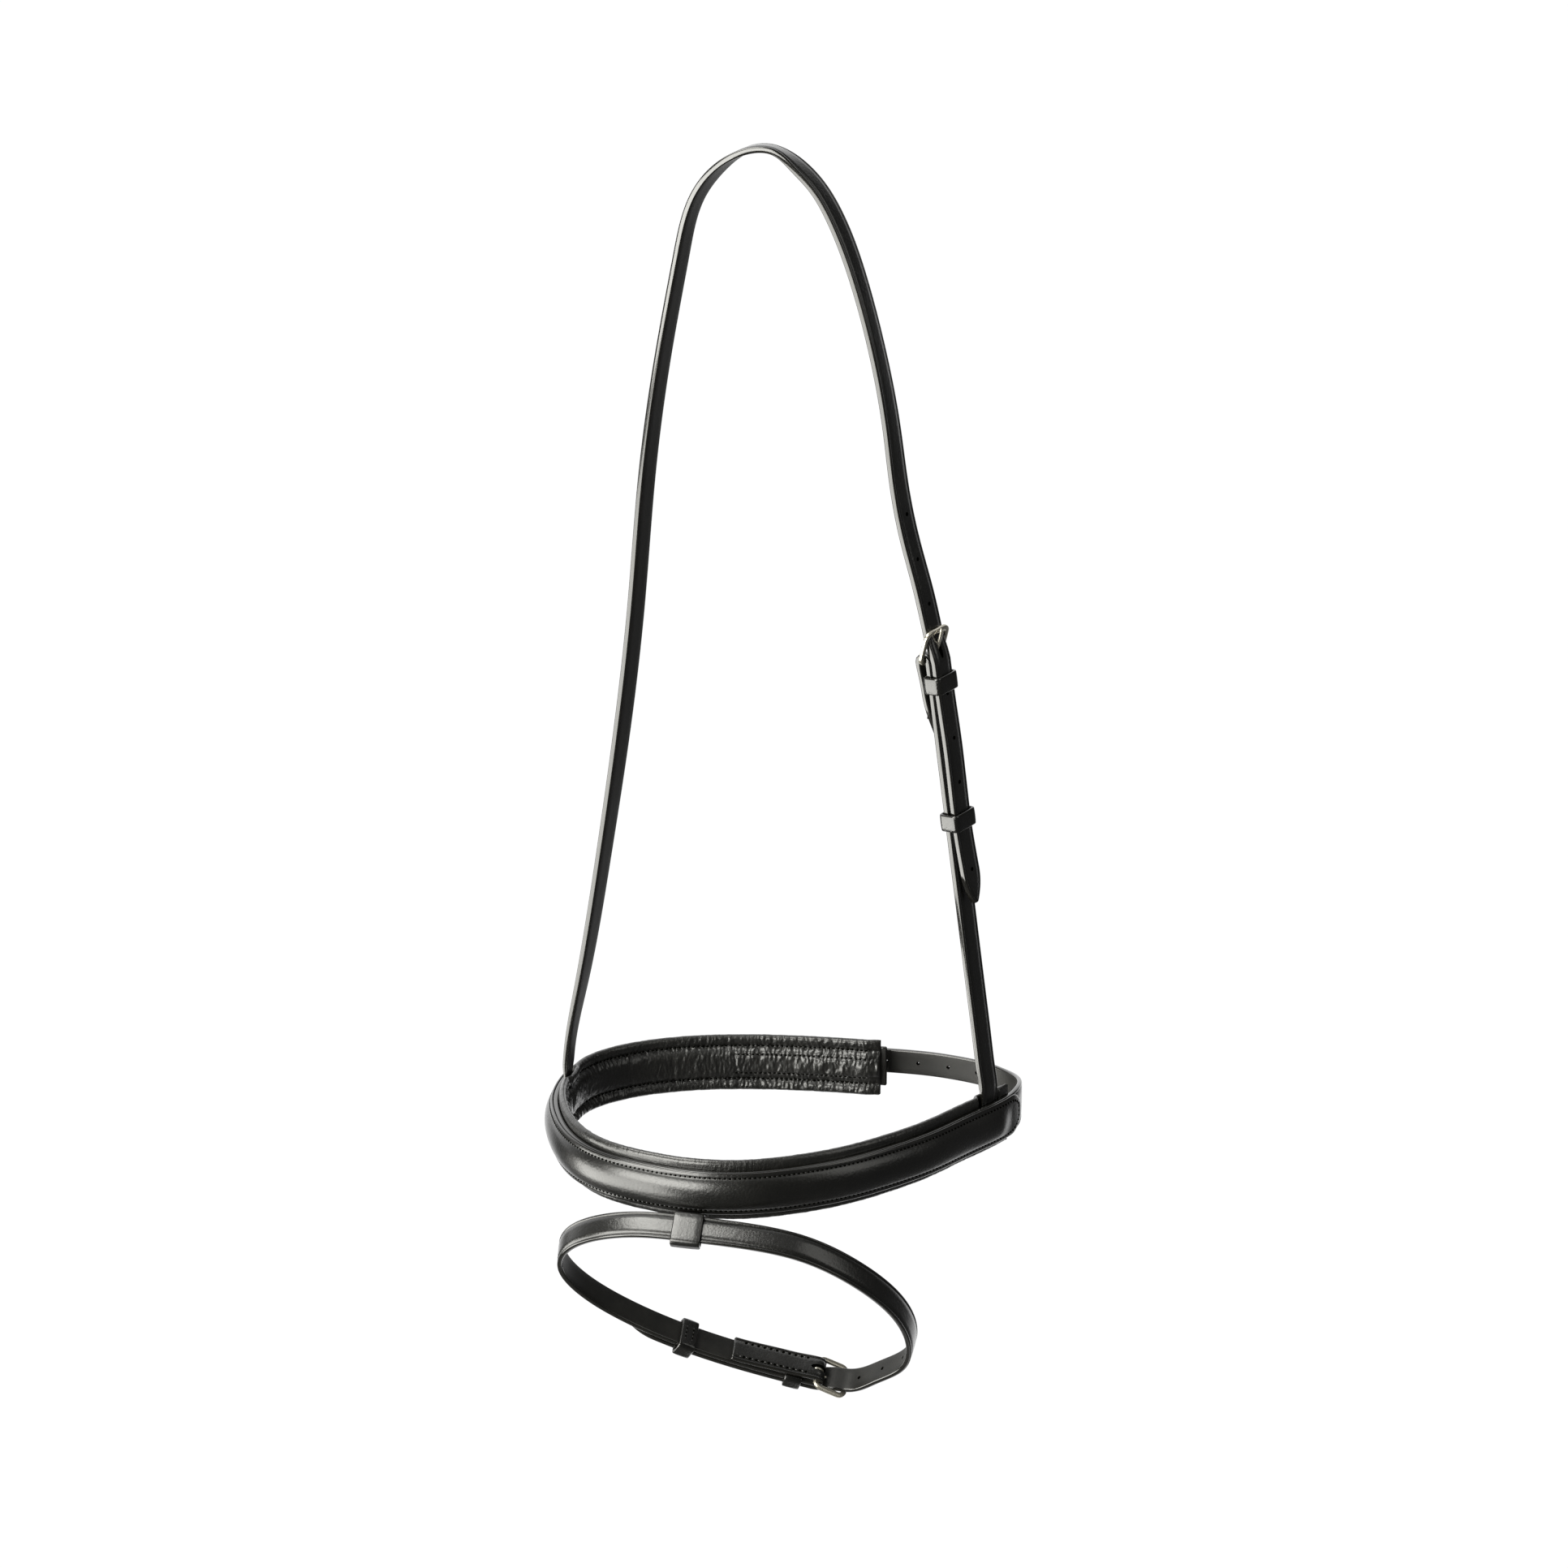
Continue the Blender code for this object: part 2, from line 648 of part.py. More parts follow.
    def keeper(self, name, u, low, high, width, room, inner_wall, group):
        """A band round the strap at u. Low and high are the inside, out from the base."""
        run, across, normal = self.base.axes(self.s + self.way * u)
        half = width / 2 + room
        inside = rounded_box((-half, low - room), (half, high + room), KEEPER_CORNER)
        outside = rounded_box((-half - KEEPER_WALL, low - room - inner_wall),
                              (half + KEEPER_WALL, high + room + KEEPER_WALL),
                              KEEPER_CORNER + KEEPER_WALL / 2)
        matrix = frame_matrix(self.place(u), across, normal, run)
        return plate(name, [outside, inside], KEEPER_WIDTH, matrix, group)


def billet_stops(rise_end, far_out):
    """Stops of a billet through a buckle, as distance from the bar and distance out."""
    return [(BUCKLE_LENGTH * along, far_out + (rise_end - far_out) * rise)
            for along, rise in ENTRY_SHARES] + [(0.0, rise_end)]


def strap_section(half_width, out=0.0):
    """Section of a plain strap whose half width changes along it."""
    return lambda s: [(out, half_width(s)), (out, -half_width(s))]


def nose_line():
    """The middle of the base strap for one turn."""
    points = [(x * NOSE_WIDTH, y * NOSE_LENGTH, -NOSE_DROP) for x, y in NOSE_SHARES]
    return smooth(points, [(0.0, 0.0, 1.0)] * len(points))


def nose_layout(nose):
    """Stations shared by the layers of the noseband, so that they lie on one another."""
    kept = [PAD_MARGIN, PAD_MARGIN + PAD_END_PINCH, PAD_END_AT - PAD_END_PINCH, PAD_END_AT]
    kept += [FACING_START_AT, FACING_END_AT]
    kept += end_stations(FACING_START_AT, FACING_END_AT, FACING_END_ROUND)
    for foot in (LEFT_FOOT_AT, RIGHT_FOOT_AT):
        kept += [foot - HEAD_WIDTH / 2 - FIT, foot + HEAD_WIDTH / 2 + FIT]
    for reach in (FACING_END_ROUND + DOME_FADE, FACING_END_ROUND + DOME_FADE / 2):
        kept += [FACING_START_AT + reach, FACING_END_AT - reach]
    return nose.stations(0.0, FACING_END_AT, kept)


def jaw_buckle(nose):
    """The buckle at the pad's rear end. Its chape has an inner leg flat on the base strap."""
    inner = BASE_THICK / 2 + FIT + CHAPE_THICK / 2
    bar_out = inner + WIRE_RADIUS + FIT + CHAPE_THICK / 2
    lift = bar_out + WIRE_RADIUS + FIT + CHAPE_THICK + 2 * FIT + BASE_THICK / 2
    stops = billet_stops(lift, lift - JAW_BILLET_DIP)
    return Buckle(nose, JAW_BAR_AT, -1, bar_out, CHAPE_THICK, BASE_THICK, stops, CHAPE_WIDTH)


def chape_levels(buckle):
    """How far out the chape's legs lie: inner, outer at a keeper, outer when sewn down."""
    inner = buckle.bar_out - buckle.wrap_radius
    at_keeper = inner + CHAPE_THICK + KEEPER_INNER_WALL + 2 * SLIDE_FIT
    return inner, at_keeper, inner + CHAPE_THICK + FIT


def nose_route(nose, buckle):
    """The base strap and its billet: once round, then outside the pad's rear end."""
    inner, at_keeper, sewn = chape_levels(buckle)
    lead = buckle.stops[0][1]
    ahead = [nose.place(-NOSE_LEAD, lead), nose.place(0.0, lead)]
    ahead += [buckle.place(u, out) for u, out in buckle.stops]
    first = len(NOSE_SHARES)
    points = [(x * NOSE_WIDTH, y * NOSE_LENGTH, -NOSE_DROP) for x, y in NOSE_SHARES]
    points, widths = smooth(points + ahead, [(0.0, 0.0, 1.0)] * (first + len(ahead)))
    over = CHAPE_THICK / 2 + FIT + FIT / 2 + BASE_THICK / 2
    near, far = JAW_BAR_AT + JAW_KEEPER_AT, JAW_BAR_AT + JAW_FAR_KEEPER_AT
    billet = nose.track([(JAW_BAR_AT, buckle.stops[-1][1]),
                         (near - KEEPER_WIDTH / 2, at_keeper + over),
                         (far + KEEPER_WIDTH / 2, at_keeper + over),
                         (NOSE_TIP_AT, sewn + over)])
    return joined((points, widths), billet)


def nose_strap(route, layout, buckle, group, cutters):
    """Base strap, from the pad's rear end all the way round to the tip of its billet."""
    narrow = FACING_END_AT
    tip = route.length

    def half_width(s):
        share = ease((s - narrow) / NOSE_NARROWING)
        half = BASE_HEIGHT / 2 + (NOSE_BILLET_WIDTH - BASE_HEIGHT) / 2 * share
        return half * tip_share(tip - s)

    kept = [narrow + NOSE_NARROWING * share for share in NARROWING_STATION_SHARES]
    kept += tip_stations(tip)
    kept += buckle.keeper_marks(route, (JAW_KEEPER_AT, JAW_FAR_KEEPER_AT), buckle.stops[-1][1])
    stations = between(layout, 0.0, narrow) + route.stations(narrow, tip, kept)[1:]
    item = lay("nose_strap", route, stations, strap_section(half_width), BASE_THICK, group)
    used, ahead = buckle.crossing(route, buckle_entry(route, buckle), tip)
    places = [used + NOSE_HOLE_SPACING * k for k in range(-NOSE_HOLES_BEFORE, NOSE_HOLES_AFTER + 1)
              if k]
    cut(item, punch("nose_holes", hole_matrices(route, places), HOLE_RADIUS, PUNCH_DEPTH, cutters))
    cut(item, buckle.used_hole("nose_used_hole", ahead, cutters))
    return finish(item, LEATHER, 0.42)


def buckle_entry(route, buckle):
    """The length along a billet's route where it comes to the buckle's far end."""
    return route.nearest(buckle.place(*buckle.stops[0]))


def facing_out(up, s):
    """How far out the middle of the facing lies."""
    flat = BASE_THICK / 2 + FIT + FACING_THICK / 2
    room = min(s - FACING_START_AT, FACING_END_AT - s) - FACING_END_ROUND
    swell = max(0.0, 1 - (2 * up / DOME_WIDTH) ** 2)
    return flat + DOME_RISE * swell * ease(room / DOME_FADE)


def facing_half(s):
    room = min(s - FACING_START_AT, FACING_END_AT - s)
    away = 1 - min(max(room / FACING_END_ROUND, 0.0), 1.0)
    return FACING_HEIGHT / 2 * (TIP_NOSE_SHARE + (1 - TIP_NOSE_SHARE) * math.sqrt(1 - away * away))


def end_stations(start, end, length):
    return [start + length * share for share in END_STATION_SHARES] \
        + [end - length * share for share in END_STATION_SHARES]


def nose_facing(nose, layout, group):
    """Raised outer leather, flat along both stitched edges and rounded at its ends."""
    stations = between(layout, FACING_START_AT, FACING_END_AT)

    def section(s):
        ups = [share * facing_half(s) for share in FACING_SHARES]
        return [(facing_out(up, s), up) for up in ups]

    item = lay("nose_facing", nose, stations, section, FACING_THICK, group)
    return finish(item, LEATHER, 0.36)


def nose_core(nose, layout, group):
    """Filler that raises the facing, flat on the base strap."""
    low = BASE_THICK / 2 + FIT
    inset = FACING_END_ROUND + DOME_FADE / 2
    stations = between(layout, FACING_START_AT + inset, FACING_END_AT - inset)
    ups = [share * FACING_HEIGHT / 2 for share in reversed(FACING_SHARES)]

    def thick(s, j):
        middle = np.interp(CORE_SHARES[j] * FACING_HEIGHT / 2, ups,
                           [facing_out(up, s) for up in ups])
        return max(CORE_THINNEST, middle - FACING_THICK / 2 - FIT - CORE_ROOM - low)

    def section(s):
        return [(low, share * FACING_HEIGHT / 2) for share in CORE_SHARES]

    item = lay("nose_core", nose, stations, section, DOME_RISE, group, side=OUTWARD,
               share=lambda s, j: thick(s, j) / DOME_RISE, rounded=False)
    return finish(item, FELT, 0.9)


def lining_out(depth_share, s):
    """How far out the middle of the lining lies; the pad is pinched at both ends."""
    flange = -(BASE_THICK / 2 + FIT + LINING_THICK / 2)
    room = min(s - PAD_MARGIN, PAD_END_AT - s) / PAD_END_PINCH
    return flange - PAD_DEPTH * depth_share * (PINCH_SHARE + (1 - PINCH_SHARE) * ease(room))


def nose_lining(nose, layout, group):
    """Soft lining: an open sheet round the pad, sewn through in two rows."""
    stations = between(layout, PAD_MARGIN, PAD_END_AT)
    half = (PAD_HEIGHT - LINING_THICK) / 2

    def section(s):
        return [(lining_out(depth, s), up * half) for up, depth in LINING_SHARES]

    item = lay("nose_lining", nose, stations, section, LINING_THICK, group, rounded=False)
    return finish(item, LINING_LEATHER, 0.48)


def nose_foam(nose, layout, group):
    """Strip of foam inside the lining."""
    flat = -(BASE_THICK / 2 + FIT + LINING_THICK + FIT)
    half = (PAD_HEIGHT - LINING_THICK) / 2
    depths = dict(LINING_SHARES)
    stations = between(layout, PAD_MARGIN + FOAM_MARGIN, PAD_END_AT - FOAM_MARGIN)

    def thick(s, j):
        face = lining_out(depths[FOAM_SHARES[j]], s) + LINING_THICK / 2 + FIT
        return max(FOAM_THINNEST, flat - face)

    def section(s):
        return [(flat, share * half * FOAM_HEIGHT_SHARE) for share in FOAM_SHARES]

    item = lay("nose_foam", nose, stations, section, PAD_DEPTH, group, side=INWARD,
               share=lambda s, j: thick(s, j) / PAD_DEPTH, rounded=False)
    return finish(item, FOAM, 0.95)


def chape(buckle, layout, group, cutters):
    """Short strap folded round the jaw buckle's bar and sewn on the base strap."""
    inner, at_keeper, sewn = chape_levels(buckle)
    near, far = JAW_BAR_AT + JAW_KEEPER_AT, JAW_BAR_AT + JAW_FAR_KEEPER_AT
    inner_leg = buckle.base.track([(CHAPE_END_AT, inner), (JAW_BAR_AT, inner)])
    outer_leg = buckle.base.track([(JAW_BAR_AT, buckle.bar_out + buckle.wrap_radius),
                                   (near - KEEPER_WIDTH / 2, at_keeper),
                                   (far + KEEPER_WIDTH / 2, at_keeper),
                                   (CHAPE_END_AT, sewn)])
    route = joined(inner_leg, buckle.wrap(), outer_leg)
    kept = route.nearest_all([inner_leg[0][-1], outer_leg[0][0]])
    kept += route.nearest_all([buckle.base.place(s, inner) for s in layout
                               if JAW_BAR_AT < s < CHAPE_END_AT])
    kept += buckle.keeper_marks(route, (JAW_KEEPER_AT, JAW_FAR_KEEPER_AT), at_keeper)
    stations = route.stations(0.0, route.length, kept)
    item = lay("jaw_chape", route, stations, strap_section(lambda s: CHAPE_WIDTH / 2),
               CHAPE_THICK, group)
    cut(item, buckle.slot("jaw_slot", cutters))
    return finish(item, LEATHER, 0.45)


def jaw_keepers(buckle, group):
    """Two fixed keepers, each sewn between the legs of the chape."""
    at_keeper = chape_levels(buckle)[1]
    low = at_keeper - CHAPE_THICK / 2
    high = at_keeper + CHAPE_THICK / 2 + FIT + FIT / 2 + BASE_THICK
    for name, u in (("jaw_keeper", JAW_KEEPER_AT), ("jaw_far_keeper", JAW_FAR_KEEPER_AT)):
        item = buckle.keeper(name, -u, low, high, CHAPE_WIDTH, FIT, KEEPER_INNER_WALL, group)
        finish(item, LEATHER, 0.45)


def foot_out():
    return -(BASE_THICK / 2 + FIT + FOOT_ROOM + FOOT_THICK / 2)


def foot_points(nose, s):
    """A strap's foot in the noseband, from its sewn end up to the pad's top edge."""
    top = PAD_HEIGHT / 2
    return [nose.place(s, foot_out(), top - FOOT_DEPTH * share) for share in (1, 1 - HALF_SHARE, 0)]


def cheek_line(nose):
    """The cheek strap's foot, and its straight run to the buckle bar."""
    foot = foot_points(nose, RIGHT_FOOT_AT)
    run, width, normal = nose.axes(RIGHT_FOOT_AT)
    lean = np.array([-CHEEK_LEAN_IN, -CHEEK_LEAN_FORWARD, 0.0])
    rise = math.sqrt(CHEEK_LENGTH ** 2 - lean.dot(lean))
    bar = foot[-1] + lean + np.array([0.0, 0.0, rise])
    straight = [foot[-1] + (bar - foot[-1]) * share for share in CHEEK_POINT_SHARES]
    points = foot + straight
    return Route(*smooth(points, [-run] * len(points)))


def head_buckle(cheek):
    """The buckle at the top of the cheek strap."""
    bar_out = -(HEAD_THICK / 2 + FIT + WIRE_RADIUS)
    lift = HEAD_THICK + FIT + FIT
    stops = billet_stops(lift, lift - HEAD_BILLET_DIP)
    return Buckle(cheek, cheek.length, 1, bar_out, HEAD_THICK, HEAD_THICK, stops, HEAD_WIDTH)


def skive(route_end, thin, full):
    """Share of the full thickness near a sewn end."""
    return thin + (full - thin) * ease((route_end - SKIVE_START) / SKIVE_LENGTH)


def cheek_strap(cheek, buckle, group, cutters):
    """Cheek strap: foot, straight run, turn round the bar, and a tapered tail inside."""
    keeper = HEAD_KEEPER_AT + KEEPER_WIDTH / 2
    beside = HEAD_THICK / 2 + HEAD_TAIL_THICK / 2 + 2 * FIT
    past_wall = beside + KEEPER_INNER_WALL + FIT
    end = cheek.length
    tail = cheek.track([(end, buckle.bar_out - buckle.wrap_radius), (end - keeper, -past_wall),
                        (end - HEAD_TAIL, -beside)])
    turn = buckle.wrap()
    main = (cheek.points, cheek.widths)
    route = joined(main, (turn[0][::-1], -turn[1][::-1]), tail)
    tip = route.length

    def half_width(s):
        return HEAD_WIDTH / 2 * tip_share((tip - s) * TAIL_TIP_SHARE)

    def share(s, j):
        if s < cheek.length:
            return skive(s, FOOT_THICK, HEAD_THICK) / HEAD_THICK
        past = ease((s - cheek.length - WRAP_STEPS * FINE_STEP) / SKIVE_LENGTH)
        return 1 + (HEAD_TAIL_THICK / HEAD_THICK - 1) * past

    kept = [SKIVE_START, SKIVE_START + SKIVE_LENGTH / 2, SKIVE_START + SKIVE_LENGTH]
    kept += [tip - TIP_LENGTH / TAIL_TIP_SHARE * x for x in TIP_STATION_SHARES]
    item = lay("cheek_strap", route, route.stations(0.0, tip, kept), strap_section(half_width),
               HEAD_THICK, group, share=share)
    cut(item, buckle.slot("head_slot", cutters))
    return finish(item, LEATHER, 0.40)


def crown_points():
    """Where the headpiece lies level on the poll, its underside through the origin."""
    return [np.array([side * CROWN_FLAT / 2, 0.0, HEAD_THICK / 2]) for side in (-1, 1)]


def head_route(nose, cheek, buckle):
    """The headpiece: left foot, over the crown, down through the buckle to its tip."""
    left = foot_points(nose, LEFT_FOOT_AT)
    out, drop = left[-1], -left[-1][2]
    run = nose.axes(LEFT_FOOT_AT)[0]
    points, widths = list(left), [-run] * len(left)
    for (x, z), turn in zip(LEFT_LIMB_SHARES, LEFT_TURNS):
        points.append(np.array([x * out[0], z * out[1], -z * drop]))
        widths.append((math.sin(turn), math.cos(turn), 0.0))
    points += crown_points()
    widths += [(0.0, 1.0, 0.0)] * 2
    out = buckle.place(*buckle.stops[0])
    for (x, y, z), turn in zip(RIGHT_LIMB_SHARES, RIGHT_TURNS):
        points.append(np.array([x * out[0], y * out[1], z * out[2]]))
        widths.append((math.sin(turn), math.cos(turn), 0.0))
    across = -buckle.h_axis
    for u, height in buckle.stops:
        points.append(buckle.place(u, height))
        widths.append(across)
    lift = buckle.stops[-1][1]
    bulge = (HEAD_KEEPER_AT + HEAD_RUNNER_AT) / 2
    billet = cheek.track([(cheek.length - u, lift + rise) for u, rise in
                          ((0.0, 0.0), (HEAD_KEEPER_AT, 0.0), (bulge, HEAD_BULGE),
                           (HEAD_RUNNER_AT, HEAD_SPREAD), (HEAD_TIP_AT, HEAD_TIP_FLARE))])
    return joined(smooth(points, widths), (billet[0], -billet[1]))


def head_strap(route, buckle, group, cutters):
    """Headpiece, one strap from its left foot to the tip of its billet."""
    tip = route.length

    def half_width(s):
        return HEAD_WIDTH / 2 * tip_share(tip - s)

    def share(s, j):
        return skive(s, FOOT_THICK, HEAD_THICK) / HEAD_THICK

    crown = route.nearest_all(crown_points())
    kept = [SKIVE_START, SKIVE_START + SKIVE_LENGTH / 2, SKIVE_START + SKIVE_LENGTH,
            *crown] + tip_stations(tip)
    kept += buckle.keeper_marks(route, (HEAD_KEEPER_AT, HEAD_RUNNER_AT), buckle.stops[-1][1])
    kept.append(route.nearest(buckle.place(-(HEAD_KEEPER_AT + HEAD_RUNNER_AT) / 2)))
    stations = [s for s in route.stations(0.0, tip, kept) if s in crown or
                not crown[0] < s < crown[1]]
    item = lay("head_strap", route, stations, strap_section(half_width), HEAD_THICK, group,
               share=share)
    used, ahead = buckle.crossing(route, buckle_entry(route, buckle), tip)
    places = [used + HEAD_HOLE_SPACING * k for k in range(-HEAD_HOLES_ABOVE, HEAD_HOLES_BELOW + 1)
              if k]
    cut(item, punch("head_holes", hole_matrices(route, places), HOLE_RADIUS, PUNCH_DEPTH, cutters))
    cut(item, buckle.used_hole("head_used_hole", ahead, cutters))
    return finish(item, LEATHER, 0.40)


def notch(name, route, group):
    """Cutter that leaves room for a strap's foot in the lining and the foam."""
    full = HEAD_THICK + 2 * FIT
    stations = [-FIT, SKIVE_START, FOOT_DEPTH, FOOT_DEPTH + OVERRUN]
    item = lay(name, route, stations, strap_section(lambda s: HEAD_WIDTH / 2 + FIT), full, group,
               share=lambda s, j: (skive(s, FOOT_THICK, HEAD_THICK) + 2 * FIT) / full,
               rounded=False)
    return as_cutter(item)


def head_keepers(buckle, group):
    """Fixed keeper under the buckle, and the keeper that slides further down."""
    low = -HEAD_THICK / 2
    high = HEAD_THICK + 2 * FIT + HEAD_THICK / 2
    fixed = buckle.keeper("head_keeper", -HEAD_KEEPER_AT, low, high, HEAD_WIDTH, FIT,
                          KEEPER_INNER_WALL, group)
    runner = buckle.keeper("head_running_keeper", -HEAD_RUNNER_AT, low, high + HEAD_SPREAD,
                           HEAD_WIDTH, SLIDE_FIT, KEEPER_WALL, group)
    return finish(fixed, LEATHER, 0.45), finish(runner, LEATHER, 0.45)


def loop_root(nose):
    """Where the flash loop is sewn under the noseband's front, and the way it hangs."""
    run, width, normal = nose.axes(LOOP_AT)
    out = BASE_THICK / 2 + FIT + FACING_THICK + FIT + LOOP_ROOT
    root = nose.place(LOOP_AT, out, LOOP_LAP - FACING_HEIGHT / 2)
    lean = FLASH_TILT - FLASH_FRONT_FLARE
    down = np.array([0.0, -math.sin(lean), -math.cos(lean)])
    return root, down


def loop_hang():
    """From the loop's root to the middle of the strap it holds."""
    return LOOP_ROOT + LOOP_NECK + LOOP_ROOM + FLASH_WIDTH / 2


def flash_points(nose):
    """The flash strap's ring, and the way its width points, which flares to the front."""
    root, down = loop_root(nose)
    start = root + down * loop_hang()
    fall = np.array([0.0, math.cos(FLASH_TILT), -math.sin(FLASH_TILT)])
    square = np.array([0.0, math.sin(FLASH_TILT), math.cos(FLASH_TILT)])
    flat = [np.array([x * FLASH_RING_WIDTH, v * FLASH_RING_DEPTH]) for x, v in FLASH_SHARES]
    points, widths = [], []
    for i, (x, v) in enumerate(flat):
        step = flat[min(i + 1, len(flat) - 1)] - flat[max(i - 1, 0)]
        step = step / np.linalg.norm(step)
        outward = np.array([step[1], 0.0, 0.0]) - step[0] * fall
        flare = FLASH_FRONT_FLARE + (FLASH_REAR_FLARE - FLASH_FRONT_FLARE) * FLASH_SHARES[i][1]
        points.append(start + x * np.array([1.0, 0.0, 0.0]) + v * fall)
        widths.append(square * math.cos(flare) + outward * math.sin(flare))
    return points, widths


def flash_buckle(ring):
    """The buckle at the right of the flash strap's back."""
    bar_out = -(FLASH_THICK / 2 + FIT + WIRE_RADIUS)
    lift = FLASH_THICK + FIT + FIT
    stops = billet_stops(lift, lift - FLASH_BILLET_DIP)
    return Buckle(ring, 0.0, -1, bar_out, FLASH_THICK, FLASH_THICK, stops, FLASH_WIDTH)


def flash_route(points, widths, ring, buckle):
    """The whole flash strap: turned back end, turn round the bar, ring and billet."""
    keeper = FLASH_KEEPER_AT + KEEPER_WIDTH / 2
    beside = FLASH_THICK / 2 + FLASH_TAIL_THICK / 2 + 2 * FIT
    past_wall = beside + KEEPER_INNER_WALL + FIT
    tail = ring.track([(FLASH_TAIL, -beside), (keeper, -past_wall),
                       (0.0, buckle.bar_out - buckle.wrap_radius)])
    turn = buckle.wrap()
    entry = [buckle.place(u, out) for u, out in buckle.stops]
    round_points = list(points) + entry
    round_widths = list(widths) + [ring.axes(0.0)[1]] * len(entry)
    main = smooth(round_points, round_widths)
    lift = buckle.stops[-1][1]
    billet = ring.track([(0.0, lift), (FLASH_TIP_AT - TIP_LENGTH, lift),
                         (FLASH_TIP_AT, lift + FLASH_TIP_FLARE)])
    return joined(tail, turn, main, billet)


def flash_strap(route, loop_at, buckle, group, cutters):
    """Flash strap, in one piece from its turned back end to the tip of its billet."""
    tip = route.length
    thin_end = FLASH_TAIL - SKIVE_LENGTH

    def half_width(s):
        return FLASH_WIDTH / 2 * tip_share(tip - s)

    def share(s, j):
        return 1 + (FLASH_TAIL_THICK / FLASH_THICK - 1) * ease((FLASH_TAIL - s) / SKIVE_LENGTH)

    kept = [thin_end, FLASH_TAIL] + tip_stations(tip)
    middle = route.nearest(loop_at)
    kept += [middle - LOOP_WIDTH / 2, middle, middle + LOOP_WIDTH / 2]
    places = (FLASH_KEEPER_AT, FLASH_RUNNER_AT)
    for out in (0.0, buckle.stops[-1][1], buckle.bar_out - buckle.wrap_radius):
        kept += buckle.keeper_marks(route, places, out)
    item = lay("flash_strap", route, route.stations(0.0, tip, kept), strap_section(half_width),
               FLASH_THICK, group, share=share)
    used, ahead = buckle.crossing(route, buckle_entry(route, buckle), tip)
    places = [used + FLASH_HOLE_SPACING * k
              for k in range(-FLASH_HOLES_BEFORE, FLASH_HOLES_AFTER + 1) if k]
    # Through the billet, but not through the strap that it lies on
    depth = FLASH_THICK + 2 * FIT
    cut(item, punch("flash_holes", hole_matrices(route, places), HOLE_RADIUS, depth, cutters))
    cut(item, buckle.slot("flash_slot", cutters))
    cut(item, buckle.used_hole("flash_used_hole", ahead, cutters))
    return finish(item, LEATHER, 0.38)


def flash_keepers(buckle, group):
    """Fixed keeper beside the flash buckle, and the keeper that slides on its billet."""
    low = -FLASH_THICK / 2
    high = FLASH_THICK + 2 * FIT + FLASH_THICK / 2
    fixed = buckle.keeper("flash_keeper", -FLASH_KEEPER_AT, low, high, FLASH_WIDTH, FIT,
                          KEEPER_INNER_WALL, group)
    runner = buckle.keeper("flash_running_keeper", -FLASH_RUNNER_AT, low, high, FLASH_WIDTH,
                           CURVED_SLIDE_FIT, KEEPER_WALL, group)
    return finish(fixed, LEATHER, 0.45), finish(runner, LEATHER, 0.45)


def flash_loop(nose, ring, group):
    """Loop that holds the flash strap. Its origin is on the sewn edge it turns on."""
    root, down = loop_root(nose)
    along = ring.axes(ring.nearest(root + down * loop_hang()))[0]
    along -= along.dot(down) * down
    along /= np.linalg.norm(along)
    side = np.cross(along, down)
    half = FLASH_THICK / 2 + LOOP_ROOM
    top = LOOP_ROOT + LOOP_NECK
    bottom = top + LOOP_ROOM + FLASH_WIDTH + LOOP_SLACK
    inside = rounded_box((top, -half), (bottom, half), KEEPER_CORNER)
    shoulder = half + LOOP_WALL
    outside = rounded_box((0.0, -shoulder), (bottom + LOOP_WALL, shoulder), LOOP_WALL)
    bead = []
    for step in range(2 * CORNER_STEPS + 1):
        angle = math.pi / 2 + math.pi * step / (2 * CORNER_STEPS)
        bead.append((LOOP_ROOT * math.cos(angle), LOOP_ROOT * math.sin(angle)))
    middle = len(outside) // 2
    outline = outside[:middle] + bead + outside[middle:]
    matrix = frame_matrix(root, down, side, np.cross(down, side))
    item = plate("flash_loop", [outline, inside], LOOP_WIDTH, matrix, group)
    return finish(item, LEATHER, 0.38)


def main():
    clear_scene()
    parts = collection("bridle_noseband")
    cutters = collection("cutters")

    nose = Route(*nose_line())
    jaw = jaw_buckle(nose)
    layout = nose_layout(nose)
    nose_strap(nose_route(nose, jaw), layout, jaw, parts, cutters)
    nose_facing(nose, layout, parts)
    nose_core(nose, layout, parts)
    lining = nose_lining(nose, layout, parts)
    foam = nose_foam(nose, layout, parts)
    chape(jaw, layout, parts, cutters)
    jaw_keepers(jaw, parts)
    jaw.frame("jaw_buckle_frame", parts)
    jaw.tongue("jaw_buckle_tongue", parts)

    cheek = cheek_line(nose)
    head = head_buckle(cheek)
    cheek_strap(cheek, head, parts, cutters)
    crown_line = head_route(nose, cheek, head)
    head_strap(crown_line, head, parts, cutters)
    head.frame("head_buckle_frame", parts)
    head.tongue("head_buckle_tongue", parts)
    head_keepers(head, parts)
    for name, route in (("left_notch", crown_line), ("right_notch", cheek)):
        cutter = notch(name, route, cutters)
        cut(lining, cutter)
        cut(foam, cutter)

    points, widths = flash_points(nose)
    ring = Route(*smooth(points, widths))
    flash = flash_buckle(ring)
    root, down = loop_root(nose)
    flash_strap(flash_route(points, widths, ring, flash), root + down * loop_hang(), flash, parts,
                cutters)
    flash.frame("flash_buckle_frame", parts)
    flash.tongue("flash_buckle_tongue", parts)
    flash_keepers(flash, parts)
    flash_loop(nose, ring, parts)


main()
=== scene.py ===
"""Looks of a padded flash noseband for a bridle: black leather, soft lining, nickel buckles."""

import math

import bmesh
import bpy
import numpy as np
from mathutils import Matrix, Vector, noise


